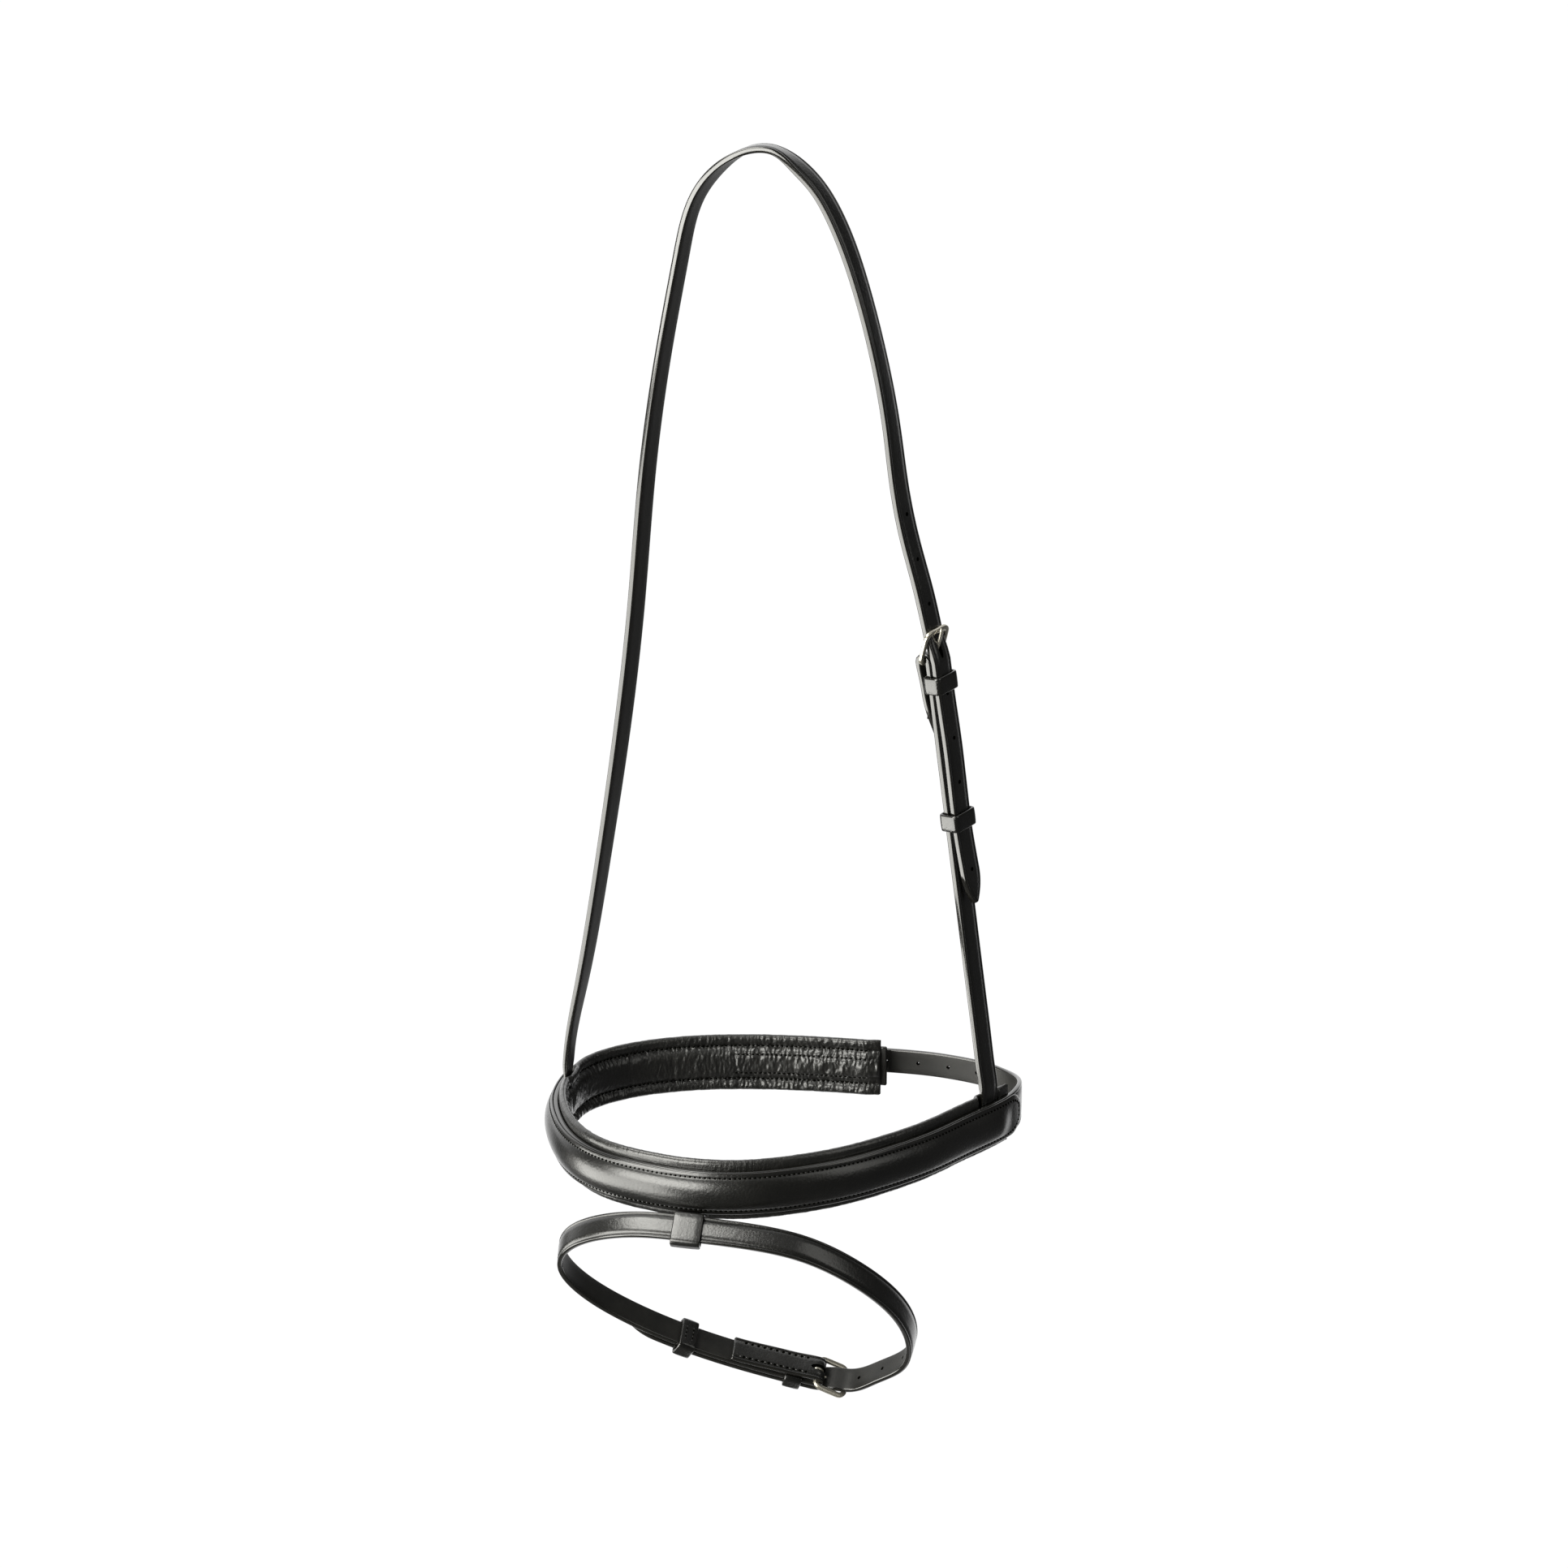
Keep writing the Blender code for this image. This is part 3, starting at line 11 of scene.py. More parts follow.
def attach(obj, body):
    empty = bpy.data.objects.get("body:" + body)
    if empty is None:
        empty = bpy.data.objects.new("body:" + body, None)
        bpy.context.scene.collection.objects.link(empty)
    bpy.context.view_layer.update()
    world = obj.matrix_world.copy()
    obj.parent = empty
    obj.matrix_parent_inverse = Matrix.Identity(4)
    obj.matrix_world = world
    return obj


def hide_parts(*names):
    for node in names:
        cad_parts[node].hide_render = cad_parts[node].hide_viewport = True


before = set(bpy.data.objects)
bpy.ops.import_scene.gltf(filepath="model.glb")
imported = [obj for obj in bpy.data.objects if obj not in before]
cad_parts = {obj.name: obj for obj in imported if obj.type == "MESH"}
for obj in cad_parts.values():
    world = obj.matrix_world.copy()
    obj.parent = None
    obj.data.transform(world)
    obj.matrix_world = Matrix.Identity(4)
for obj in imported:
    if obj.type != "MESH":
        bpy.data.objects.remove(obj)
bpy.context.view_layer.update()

# The lengths below are those of the solids, in metres
FIT = 0.0003  # left between pieces that touch
SLIDE_FIT = 0.00045  # left round a straight strap inside a keeper that slides
CURVED_SLIDE_FIT = 0.0007  # and round a curved one
OVERRUN = 0.002  # by which a cutter passes through what it cuts
FINE_STEP = 0.0005
UP = (0.0, 0.0, 1.0)
WRAP_STEPS = 12
WRAP_LENGTH = WRAP_STEPS * FINE_STEP
NOSE_DROP = 0.501
NOSE_WIDTH = 0.232  # across the ring, at the middle of the base strap
NOSE_LENGTH = 0.192  # front to back
BASE_HEIGHT = 0.022
BASE_THICK = 0.0026
NOSE_BILLET_WIDTH = 0.0135
NOSE_NARROWING = 0.045  # over which the base strap narrows to its billet
NOSE_TIP_AT = 0.104  # the billet's tip, past the pad's rear end
NOSE_LEAD = 0.008  # the billet is already outside the pad this far before its rear end
PAD_MARGIN = 0.003
LEFT_FOOT_AT = 0.197
LOOP_AT = 0.3545
RIGHT_FOOT_AT = 0.5405
PAD_END_AT = 0.558
FACING_START_AT = 0.171
FACING_END_AT = 0.5650
FACING_HEIGHT = 0.022
FACING_THICK = 0.0015
DOME_WIDTH = 0.0172
DOME_RISE = 0.0026
DOME_FADE = 0.014
FACING_END_ROUND = 0.010
PAD_HEIGHT = 0.0316
PAD_DEPTH = 0.0044
LINING_THICK = 0.0010
PAD_END_PINCH = 0.008
HEAD_WIDTH = 0.0127
HEAD_THICK = 0.0032
CROWN_FLAT = 0.010
FOOT_THICK = 0.0016  # skived where a strap is sewn into the noseband
FOOT_ROOM = 0.0002  # more room for a flat foot inside a curve
FOOT_DEPTH = 0.021  # sewn in, below the top edge of the pad
SKIVE_START = 0.017
SKIVE_LENGTH = 0.010
CHEEK_LENGTH = 0.2365  # from the pad's top edge to the buckle bar
CHEEK_LEAN_IN = 0.0283  # how far in from its foot the bar hangs
CHEEK_LEAN_FORWARD = 0.0153
HEAD_TAIL = 0.042  # the turned back end below the bar
HEAD_TAIL_THICK = 0.0026
HEAD_TIP_AT = 0.129
HEAD_TIP_FLARE = 0.0026
HEAD_BULGE = 0.0008  # by which the billet stands off between its keepers
HEAD_SPREAD = 0.0005  # and in the sliding keeper
HEAD_KEEPER_AT = 0.0112
HEAD_RUNNER_AT = 0.084
HEAD_HOLE_SPACING = 0.0235
HEAD_HOLES_ABOVE = 3
HEAD_HOLES_BELOW = 5
HEAD_BILLET_DIP = 0.0030  # by which the billet comes in between the bar and the far end
FLASH_TILT = math.radians(55)
FLASH_FRONT_FLARE = math.radians(8)
FLASH_REAR_FLARE = math.radians(5)
FLASH_WIDTH = 0.0135
FLASH_THICK = 0.0028
FLASH_RING_WIDTH = 0.177
FLASH_RING_DEPTH = 0.1350
FLASH_TAIL = 0.046
FLASH_TAIL_THICK = 0.0024
FLASH_TIP_AT = 0.103
FLASH_TIP_FLARE = 0.0010
FLASH_KEEPER_AT = 0.0115
FLASH_RUNNER_AT = 0.0705
FLASH_HOLE_SPACING = 0.0185
FLASH_HOLES_BEFORE = 3
FLASH_HOLES_AFTER = 4
FLASH_BILLET_DIP = 0.0050
LOOP_WIDTH = 0.0150
LOOP_WALL = 0.0018
LOOP_ROOT = 0.0005  # radius of the sewn edge that the loop hangs and turns on
LOOP_NECK = 0.0002
LOOP_ROOM = 0.0005
LOOP_SLACK = 0.0012  # under the strap
LOOP_LAP = 0.0002  # of the sewn edge, up over the facing's lower edge
CHAPE_WIDTH = 0.0140
CHAPE_THICK = 0.0022
CHAPE_END_AT = 0.084
JAW_BAR_AT = 0.024
JAW_KEEPER_AT = 0.0120
JAW_FAR_KEEPER_AT = 0.0430
NOSE_HOLE_SPACING = 0.0172
NOSE_HOLES_BEFORE = 4
NOSE_HOLES_AFTER = 3
JAW_BILLET_DIP = 0.0024
WIRE_RADIUS = 0.0012
BUCKLE_LENGTH = 0.0160  # from the bar to the far end, wire centres, along the strap
BUCKLE_SIDE_ROOM = 0.0007
BUCKLE_CORNER = 0.0035
TONGUE_RADIUS = 0.0010
TONGUE_PAST = 0.0022
TONGUE_HOOK = math.radians(262)
BUCKLE_PLAY = math.radians(5)  # lift of the frame, and again of the tongue on it
KEEPER_WIDTH = 0.0090
KEEPER_WALL = 0.0016
KEEPER_INNER_WALL = 0.0012
KEEPER_CORNER = 0.0008
TIP_LENGTH = 0.017
TIP_NOSE_SHARE = 0.20
TAIL_TIP_SHARE = 0.6  # a turned back end is blunter by this
TIP_DIP_SHARE = 0.35  # of the tongue's end, bent down past the frame
HALF_SHARE = 0.5
ENTRY_SHARES = [(1.0, 0.0), (0.62, 0.30), (0.31, 0.72)]
NOSE_SHARES = [
    (0.196, 0.521), (0.043, 0.516), (-0.114, 0.494), (-0.263, 0.443), (-0.394, 0.346),
    (-0.469, 0.220), (-0.483, 0.105), (-0.472, -0.026), (-0.438, -0.148), (-0.388, -0.260),
    (-0.297, -0.368), (-0.190, -0.423), (-0.073, -0.446), (0.035, -0.427), (0.142, -0.364),
    (0.231, -0.284), (0.313, -0.177), (0.384, -0.060), (0.446, 0.076), (0.489, 0.168),
    (0.521, 0.262), (0.526, 0.354), (0.498, 0.443), (0.440, 0.508), (0.362, 0.545),
    (0.290, 0.562),
]
LEFT_LIMB_SHARES = [
    (0.925, 0.900), (0.800, 0.752), (0.692, 0.604), (0.610, 0.463), (0.549, 0.330),
    (0.457, 0.198), (0.369, 0.100), (0.295, 0.045), (0.190, 0.015),
]
RIGHT_LIMB_SHARES = [
    (0.2015, 0.0219, 0.0237), (0.3158, 0.0598, 0.0646), (0.4206, 0.1156, 0.1249),
    (0.5690, 0.2432, 0.2628), (0.6739, 0.3747, 0.4050), (0.7569, 0.5222, 0.5644),
    (0.8005, 0.6338, 0.6850), (0.8644, 0.7414, 0.8014), (0.9420, 0.8371, 0.9048),
]
CHEEK_POINT_SHARES = [0.06, 0.12, 0.25, 0.40, 0.55, 0.70, 0.80, 0.90, 1.0]
RIGHT_TURNS = [math.radians(turn) for turn in (20, 21, 21, 19, 18, 21, 24, 26, 27)]
LEFT_TURNS = [math.radians(turn) for turn in (9, 15, 19, 19, 18, 16, 15, 16, 17)]
FLASH_SHARES = [
    (0.277, 1.005), (0.096, 0.920), (-0.090, 0.802), (-0.266, 0.628), (-0.374, 0.444),
    (-0.403, 0.296), (-0.367, 0.158), (-0.254, 0.042), (-0.113, -0.003), (0.0, 0.0),
    (0.158, 0.016), (0.316, 0.068), (0.463, 0.222), (0.561, 0.430), (0.588, 0.645),
    (0.552, 0.826), (0.464, 0.947),
]


def spline(knots, values, places):
    """Read a natural cubic curve through the values, given at the knots."""
    count = len(knots)
    run = np.diff(knots)
    system = np.eye(count)
    load = np.zeros(values.shape)
    for i in range(1, count - 1):
        system[i, i - 1:i + 2] = run[i - 1], 2 * (run[i - 1] + run[i]), run[i]
        rise = (values[i + 1] - values[i]) / run[i] - (values[i] - values[i - 1]) / run[i - 1]
        load[i] = 6 * rise
    bend = np.linalg.solve(system, load)
    i = np.clip(np.searchsorted(knots, places) - 1, 0, count - 2)
    left = (knots[i + 1] - places)[:, None]
    right = (places - knots[i])[:, None]
    span = run[i][:, None]
    curve = (bend[i] * left ** 3 + bend[i + 1] * right ** 3) / (6 * span)
    ends = (values[i] / span - bend[i] * span / 6) * left
    return curve + ends + (values[i + 1] / span - bend[i + 1] * span / 6) * right


def lengths_along(points):
    """The length gone at each point of a line."""
    steps = np.linalg.norm(np.diff(np.array(points), axis=0), axis=1)
    return np.concatenate(([0.0], np.cumsum(steps)))


def smooth(points, widths):
    """Turn chosen points, and the way the width points at each, into a fine line."""
    points, widths = np.array(points, float), np.array(widths, float)
    knots = lengths_along(points)
    places = [np.array([0.0])]
    for low, high in zip(knots, knots[1:]):
        places.append(np.linspace(low, high, int((high - low) / FINE_STEP) + 2)[1:])
    places = np.concatenate(places)
    return spline(knots, points, places), spline(knots, widths, places)


def ease(share):
    """Go smoothly from 0 to 1 as the share does."""
    share = min(max(share, 0.0), 1.0)
    return share * share * (3 - 2 * share)


class Route:
    """A fine line in space, read by the length along it. Each place has the strap's run, the
    way of its width, and the way out of its grain side."""

    def __init__(self, points, widths):
        keep = [0]
        for i in range(1, len(points)):
            if np.linalg.norm(points[i] - points[keep[-1]]) > FINE_STEP / 2:
                keep.append(i)
        self.points, self.widths = points[keep], widths[keep]
        self.marks = lengths_along(self.points)
        self.length = self.marks[-1]
        self.runs = np.gradient(self.points, axis=0)

    def read(self, table, s):
        return np.array([np.interp(s, self.marks, table[:, k]) for k in range(3)])

    def axes(self, s):
        run = self.read(self.runs, s)
        run /= np.linalg.norm(run)
        width = self.read(self.widths, s)
        width -= width.dot(run) * run
        width /= np.linalg.norm(width)
        return run, width, np.cross(run, width)

    def place(self, s, out=0.0, up=0.0):
        """A point at length s, moved out from the grain side and up along the width. Before
        the start and past the end the line goes straight on."""
        run, width, normal = self.axes(s)
        past = s - min(max(s, 0.0), self.length)
        return self.read(self.points, s) + past * run + out * normal + up * width

    def track(self, stops):
        """A fine line beside this one: stops are pairs of length and distance out."""
        points, widths = [], []
        for (s0, out0), (s1, out1) in zip(stops, stops[1:]):
            count = int(abs(s1 - s0) / FINE_STEP) + 1
            for i in range(count):
                s = s0 + (s1 - s0) * i / count
                points.append(self.place(s, out0 + (out1 - out0) * ease(i / count)))
                widths.append(self.axes(s)[1])
        points.append(self.place(*stops[-1]))
        widths.append(self.axes(stops[-1][0])[1])
        return np.array(points), np.array(widths)

    def lay(self, s, section):
        """A ring of points: the section's pairs of out and up, laid across at length s."""
        run, width, normal = self.axes(s)
        middle = self.place(s)
        return [middle + out * normal + up * width for out, up in section]

    def spot(self, s, out, up):
        """Where a stitch lies: its place, the run of its row and the way it faces."""
        run, width, normal = self.axes(s)
        return self.place(s, out, up), run, normal if out > 0 else -normal

    def nearest(self, point):
        return self.marks[np.argmin(np.linalg.norm(self.points - np.array(point), axis=1))]


def joined(*lines):
    """One route along several fine lines, end to end."""
    return Route(np.concatenate([line[0] for line in lines]),
                 np.concatenate([line[1] for line in lines]))


def frame_matrix(origin, x_axis, y_axis, z_axis):
    """Where an object goes, from its origin and the ways of its three axes."""
    turn = Matrix((x_axis, y_axis, z_axis)).transposed().to_4x4()
    return Matrix.Translation(origin) @ turn


def tip_share(left):
    """Share of the full width where this much of the strap is left."""
    away = 1 - min(max(left / TIP_LENGTH, 0.0), 1.0)
    return TIP_NOSE_SHARE + (1 - TIP_NOSE_SHARE) * (1 - away * away)


class Buckle:
    """Places for one buckle. The bar lies across the base line at length s; u runs from the
    bar to the far end and out leaves the grain side. The strap end turned round the bar
    lies at the inside of the bar, the billet outside it."""

    def __init__(self, base, s, way, bar_out, wrap_thick, billet_thick, billet_stops, width):
        run, across, normal = base.axes(s)
        self.base, self.s, self.way = base, s, way
        self.u_axis, self.h_axis, self.normal = way * run, way * across, normal
        self.centre = base.place(s, bar_out)
        self.bar_out = bar_out
        self.wrap_thick, self.billet_thick = wrap_thick, billet_thick
        self.stops = billet_stops
        self.width = width
        self.wrap_radius = WIRE_RADIUS + FIT + wrap_thick / 2
        far_out = dict(billet_stops)[BUCKLE_LENGTH] + billet_thick / 2 + FIT + WIRE_RADIUS
        far = base.place(s + way * BUCKLE_LENGTH, far_out) - self.centre
        self.far = np.array([far.dot(self.u_axis), far.dot(normal)])
        self.reach = np.linalg.norm(self.far)
        self.along = self.far / self.reach
        self.above = np.array([-self.along[1], self.along[0]])
        self.ring_radius = WIRE_RADIUS + FIT + TONGUE_RADIUS

    def place(self, u, out=0.0, up=0.0):
        """A point by distance along the base from the bar, out from the base line."""
        return self.base.place(self.s + self.way * u, out, self.way * up)

    def entry(self):
        """Points of the billet's line, from the far end in to the bar."""
        return [self.place(u, out) for u, out in self.stops]

    def matrix(self):
        return frame_matrix(self.centre, self.u_axis, self.h_axis, self.normal)

    def wrap(self):
        """The turn round the bar, from the inner leg to the outer leg."""
        points, widths = [], []
        for step in range(WRAP_STEPS + 1):
            angle = math.pi * (step / WRAP_STEPS - HALF_SHARE)
            across = self.wrap_radius * math.cos(angle)
            rise = self.wrap_radius * math.sin(angle)
            points.append(self.centre + across * self.u_axis + rise * self.normal)
            widths.append(-self.h_axis)
        return np.array(points), np.array(widths)

    def tongue_line(self):
        """Start and end of the tongue's straight part, from the bar's centre."""
        start = self.above * self.ring_radius
        rest = WIRE_RADIUS + FIT + TONGUE_RADIUS
        return start, self.far + self.above * rest

    def crossing(self, route, start, end):
        """Where along a billet's route the tongue goes through it."""
        low, high = self.tongue_line()
        way = (high - low) / np.linalg.norm(high - low)
        best = None
        for s in np.arange(start, end, FINE_STEP):
            away = route.place(s) - self.centre
            flat = np.array([away.dot(self.u_axis), away.dot(self.normal)]) - low
            side = abs(flat[0] * way[1] - flat[1] * way[0])
            ahead = flat.dot(way)
            if 0 < ahead < self.reach and (best is None or side < best[0]):
                best = (side, s, ahead)
        return best[1], best[2]


def billet_stops(rise_end, far_out):
    """Stops of a billet through a buckle, as distance from the bar and distance out."""
    return [(BUCKLE_LENGTH * along, far_out + (rise_end - far_out) * rise)
            for along, rise in ENTRY_SHARES] + [(0.0, rise_end)]


def tail_stops(buckle, keeper_at, tail, tail_thick):
    """Stops of a strap's turned back end, as distance from the bar and distance out."""
    beside = buckle.wrap_thick / 2 + tail_thick / 2 + 2 * FIT
    return [(0.0, buckle.bar_out - buckle.wrap_radius),
            (keeper_at + KEEPER_WIDTH / 2, -(beside + KEEPER_INNER_WALL + FIT)), (tail, -beside)]


def nose_points():
    """The middle of the base strap for one turn."""
    return [(x * NOSE_WIDTH, y * NOSE_LENGTH, -NOSE_DROP) for x, y in NOSE_SHARES]


def jaw_buckle(nose):
    """The buckle at the pad's rear end. Its chape has an inner leg flat on the base strap."""
    inner = BASE_THICK / 2 + FIT + CHAPE_THICK / 2
    bar_out = inner + WIRE_RADIUS + FIT + CHAPE_THICK / 2
    lift = bar_out + WIRE_RADIUS + FIT + CHAPE_THICK + 2 * FIT + BASE_THICK / 2
    stops = billet_stops(lift, lift - JAW_BILLET_DIP)
    return Buckle(nose, JAW_BAR_AT, -1, bar_out, CHAPE_THICK, BASE_THICK, stops, CHAPE_WIDTH)


def chape_levels(buckle):
    """How far out the chape's legs lie: inner, outer at a keeper, outer when sewn down."""
    inner = buckle.bar_out - buckle.wrap_radius
    at_keeper = inner + CHAPE_THICK + KEEPER_INNER_WALL + 2 * SLIDE_FIT
    return inner, at_keeper, inner + CHAPE_THICK + FIT


def nose_route(nose, buckle):
    """The base strap and its billet: once round, then outside the pad's rear end."""
    inner, at_keeper, sewn = chape_levels(buckle)
    lead = buckle.stops[0][1]
    ahead = [nose.place(-NOSE_LEAD, lead), nose.place(0.0, lead)]
    ahead += buckle.entry()
    points = nose_points() + ahead
    ring = smooth(points, [UP] * len(points))
    over = CHAPE_THICK / 2 + FIT + FIT / 2 + BASE_THICK / 2
    near, far = JAW_BAR_AT + JAW_KEEPER_AT, JAW_BAR_AT + JAW_FAR_KEEPER_AT
    billet = nose.track([(JAW_BAR_AT, buckle.stops[-1][1]),
                         (near - KEEPER_WIDTH / 2, at_keeper + over),
                         (far + KEEPER_WIDTH / 2, at_keeper + over),
                         (NOSE_TIP_AT, sewn + over)])
    return joined(ring, billet)


def end_round(room):
    """Share of the facing's height that is left this far from its end."""
    away = 1 - min(max(room / FACING_END_ROUND, 0.0), 1.0)
    return TIP_NOSE_SHARE + (1 - TIP_NOSE_SHARE) * math.sqrt(1 - away * away)


def facing_room(s):
    """How far a length is from the nearer end of the facing."""
    return min(s - FACING_START_AT, FACING_END_AT - s)


def facing_half(s):
    return FACING_HEIGHT / 2 * end_round(facing_room(s))


def foot_out():
    return -(BASE_THICK / 2 + FIT + FOOT_ROOM + FOOT_THICK / 2)


def foot_points(nose, s):
    """A strap's foot in the noseband, from its sewn end up to the pad's top edge."""
    top = PAD_HEIGHT / 2
    return [nose.place(s, foot_out(), top - FOOT_DEPTH * share) for share in (1, 1 - HALF_SHARE, 0)]


def cheek_line(nose):
    """The cheek strap's foot, and its straight run to the buckle bar."""
    foot = foot_points(nose, RIGHT_FOOT_AT)
    lean = np.array([-CHEEK_LEAN_IN, -CHEEK_LEAN_FORWARD, 0.0])
    rise = math.sqrt(CHEEK_LENGTH ** 2 - lean.dot(lean))
    bar = foot[-1] + lean + np.array([0.0, 0.0, rise])
    points = foot + [foot[-1] + (bar - foot[-1]) * share for share in CHEEK_POINT_SHARES]
    return Route(*smooth(points, [-nose.axes(RIGHT_FOOT_AT)[0]] * len(points)))


def turned_back_buckle(base, s, way, thick, dip, width):
    """A buckle whose bar lies in the turned back end of a strap, at its flesh side."""
    bar_out = -(thick / 2 + FIT + WIRE_RADIUS)
    lift = thick + FIT + FIT
    return Buckle(base, s, way, bar_out, thick, thick, billet_stops(lift, lift - dip), width)


def skive(route_end, thin, full):
    """Share of the full thickness near a sewn end."""
    return thin + (full - thin) * ease((route_end - SKIVE_START) / SKIVE_LENGTH)


def crown_points():
    """Where the headpiece lies level on the poll, its underside through the origin."""
    return [np.array([side * CROWN_FLAT / 2, 0.0, HEAD_THICK / 2]) for side in (-1, 1)]


def limb(shares, turns, end):
    """One side of the headpiece: shares of the way to its end, and the turn of its width."""
    return ([np.array(share) * end for share in shares],
            [(math.sin(turn), math.cos(turn), 0.0) for turn in turns])


def head_route(nose, cheek, buckle):
    """The headpiece: left foot, over the crown, down through the buckle to its tip."""
    foot = foot_points(nose, LEFT_FOOT_AT)
    left = limb([(x, z, z) for x, z in LEFT_LIMB_SHARES], LEFT_TURNS, foot[-1])
    right = limb(RIGHT_LIMB_SHARES, RIGHT_TURNS, buckle.place(*buckle.stops[0]))
    entry = buckle.entry()
    points = foot + left[0] + crown_points() + right[0] + entry
    widths = [-nose.axes(LEFT_FOOT_AT)[0]] * len(foot) + left[1] + [(0.0, 1.0, 0.0)] * 2
    widths += right[1] + [-buckle.h_axis] * len(entry)
    lift = buckle.stops[-1][1]
    bulge = (HEAD_KEEPER_AT + HEAD_RUNNER_AT) / 2
    billet = cheek.track([(cheek.length - u, lift + rise) for u, rise in
                          ((0.0, 0.0), (HEAD_KEEPER_AT, 0.0), (bulge, HEAD_BULGE),
                           (HEAD_RUNNER_AT, HEAD_SPREAD), (HEAD_TIP_AT, HEAD_TIP_FLARE))])
    return joined(smooth(points, widths), (billet[0], -billet[1]))


def loop_root(nose):
    """Where the flash loop is sewn under the noseband's front, and the way it hangs."""
    out = BASE_THICK / 2 + FIT + FACING_THICK + FIT + LOOP_ROOT
    root = nose.place(LOOP_AT, out, LOOP_LAP - FACING_HEIGHT / 2)
    lean = FLASH_TILT - FLASH_FRONT_FLARE
    down = np.array([0.0, -math.sin(lean), -math.cos(lean)])
    return root, down


def loop_hang():
    """From the loop's root to the middle of the strap it holds."""
    return LOOP_ROOT + LOOP_NECK + LOOP_ROOM + FLASH_WIDTH / 2


def flash_points(nose):
    """The flash strap's ring, and the way its width points, which flares to the front."""
    root, down = loop_root(nose)
    start = root + down * loop_hang()
    fall = np.array([0.0, math.cos(FLASH_TILT), -math.sin(FLASH_TILT)])
    square = np.array([0.0, math.sin(FLASH_TILT), math.cos(FLASH_TILT)])
    flat = [np.array([x * FLASH_RING_WIDTH, v * FLASH_RING_DEPTH]) for x, v in FLASH_SHARES]
    points, widths = [], []
    for i, (x, v) in enumerate(flat):
        step = flat[min(i + 1, len(flat) - 1)] - flat[max(i - 1, 0)]
        step = step / np.linalg.norm(step)
        outward = np.array([step[1], 0.0, 0.0]) - step[0] * fall
        flare = FLASH_FRONT_FLARE + (FLASH_REAR_FLARE - FLASH_FRONT_FLARE) * FLASH_SHARES[i][1]
        points.append(start + x * np.array([1.0, 0.0, 0.0]) + v * fall)
        widths.append(square * math.cos(flare) + outward * math.sin(flare))
    return points, widths


def flash_route(points, widths, ring, buckle):
    """The whole flash strap: turned back end, turn round the bar, ring and billet."""
    tail = ring.track(tail_stops(buckle, FLASH_KEEPER_AT, FLASH_TAIL, FLASH_TAIL_THICK)[::-1])
    entry = buckle.entry()
    main = smooth(points + entry, widths + [ring.axes(0.0)[1]] * len(entry))
    lift = buckle.stops[-1][1]
    billet = ring.track([(0.0, lift), (FLASH_TIP_AT - TIP_LENGTH, lift),
                         (FLASH_TIP_AT, lift + FLASH_TIP_FLARE)])
    return joined(tail, buckle.wrap(), main, billet)


# Detail that only the visual model has
STRAP_STEP = 0.0016
PAD_STEP = 0.00045
PAD_EDGE = 0.0012
FACING_STEP = 0.0012
FACING_EDGE = 0.0006
FACING_FINE = 0.011  # of its length at each end, where the step is halved
FACING_TIP = 0.004  # half its height where its end is too narrow for the groove
FOLD_IN = 0.0002  # of the facing's flat back, from its edge
GRAIN_SCALE = 620.0
EDGE_RADIUS = 0.00075
CREASE_IN = 0.0016  # of a creased line, from the strap's edge
CREASE_HALF = 0.00042
CREASE_DEPTH = 0.00040
CROWNING = 0.00012
SEAM_IN = 0.0025  # of the facing's stitches, from its edge
FLANGE_PRESS = 0.0005  # outside them, where the facing's edge is pressed down
SEAM_GROOVE = 0.00010
SEAM_HALF = 0.0011
DOME_PLUMP = 0.0003  # by which the raised front stands out further than its solid
DOME_SHAPE = 0.85
FACING_PITCH = 0.0025
STRAP_PITCH = 0.0033
PAD_PITCH = 0.0026
THREAD = 0.00040  # half the thickness of the thread, before it is drawn flat
THREAD_OUT = 0.2  # of it, by which a row lies proud of the strap
FACING_THREAD_OUT = 0.25
PAD_THREAD_OUT = 0.3
THREAD_HALF = 0.85  # of it, half a stitch's width
THREAD_LONG = 0.44  # of the pitch
THREAD_FLAT = 0.45
AWL = 0.00056  # half the width of a stitch hole's dark bead of painted shade
AWL_LONG = 0.62  # of the pitch
AWL_SINK = 0.00004
AWL_FLAT = 0.35
BOLD_AWL = 1.25
JAW_ROWS = (0.022, 0.002, 0.0048)  # from and to, back from the chape's end, and how far up
CHEEK_ROWS = (0.026, 0.012, 0.0042)  # the same on the cheek strap's turned back end
FLASH_ROWS = (0.003, FLASH_TAIL - 0.005, 0.0043)  # and on the flash strap's, from its end
KEEPER_PITCH = 0.0024
JOINT_SEAM = 0.0019
JOINT_REACH = 0.0046
PAD_SEAM = 0.0094  # of the pad's stitches, from its middle
BOX_SEAM = 0.0052
BOX_START = 0.0085
BOX_END = 0.0825
PAD_ROW_STEP = 0.0008
PAD_SEAM_START = 0.008
PAD_SEAM_END = 0.552
ROW_REACH = 0.0007  # of the sink at a row of stitches, and its depth
ROW_DEPTH = 0.00036
LUMP_REACH = 0.0021  # of the lumps beside it
LUMP_RISE = 0.00022
RIM = 0.0132  # up from the middle, where the lining is drawn over the pad's rim
RIM_REACH = 0.0022
CALM_FROM = 0.0138  # the creases end from here to the outline
CALM_OVER = 0.0018
CREASE_RISE = 0.00024
FINE_RISE = 0.00021
PILLOW_RISE = 0.00045  # in the box, and what is added towards its rear end
PILLOW_MORE = 0.00105
BOX_END_SINK = 0.00020
BOX_END_REACH = 0.0011
FRAME_FLAT = 0.00100  # half of the frame's thickness at its far end
FRAME_BROAD = 0.00135  # and of its breadth
BAR_SHARE = 0.92  # of the wire, at the bar
SQUARENESS = 0.45  # of the frame's section: 1 is round
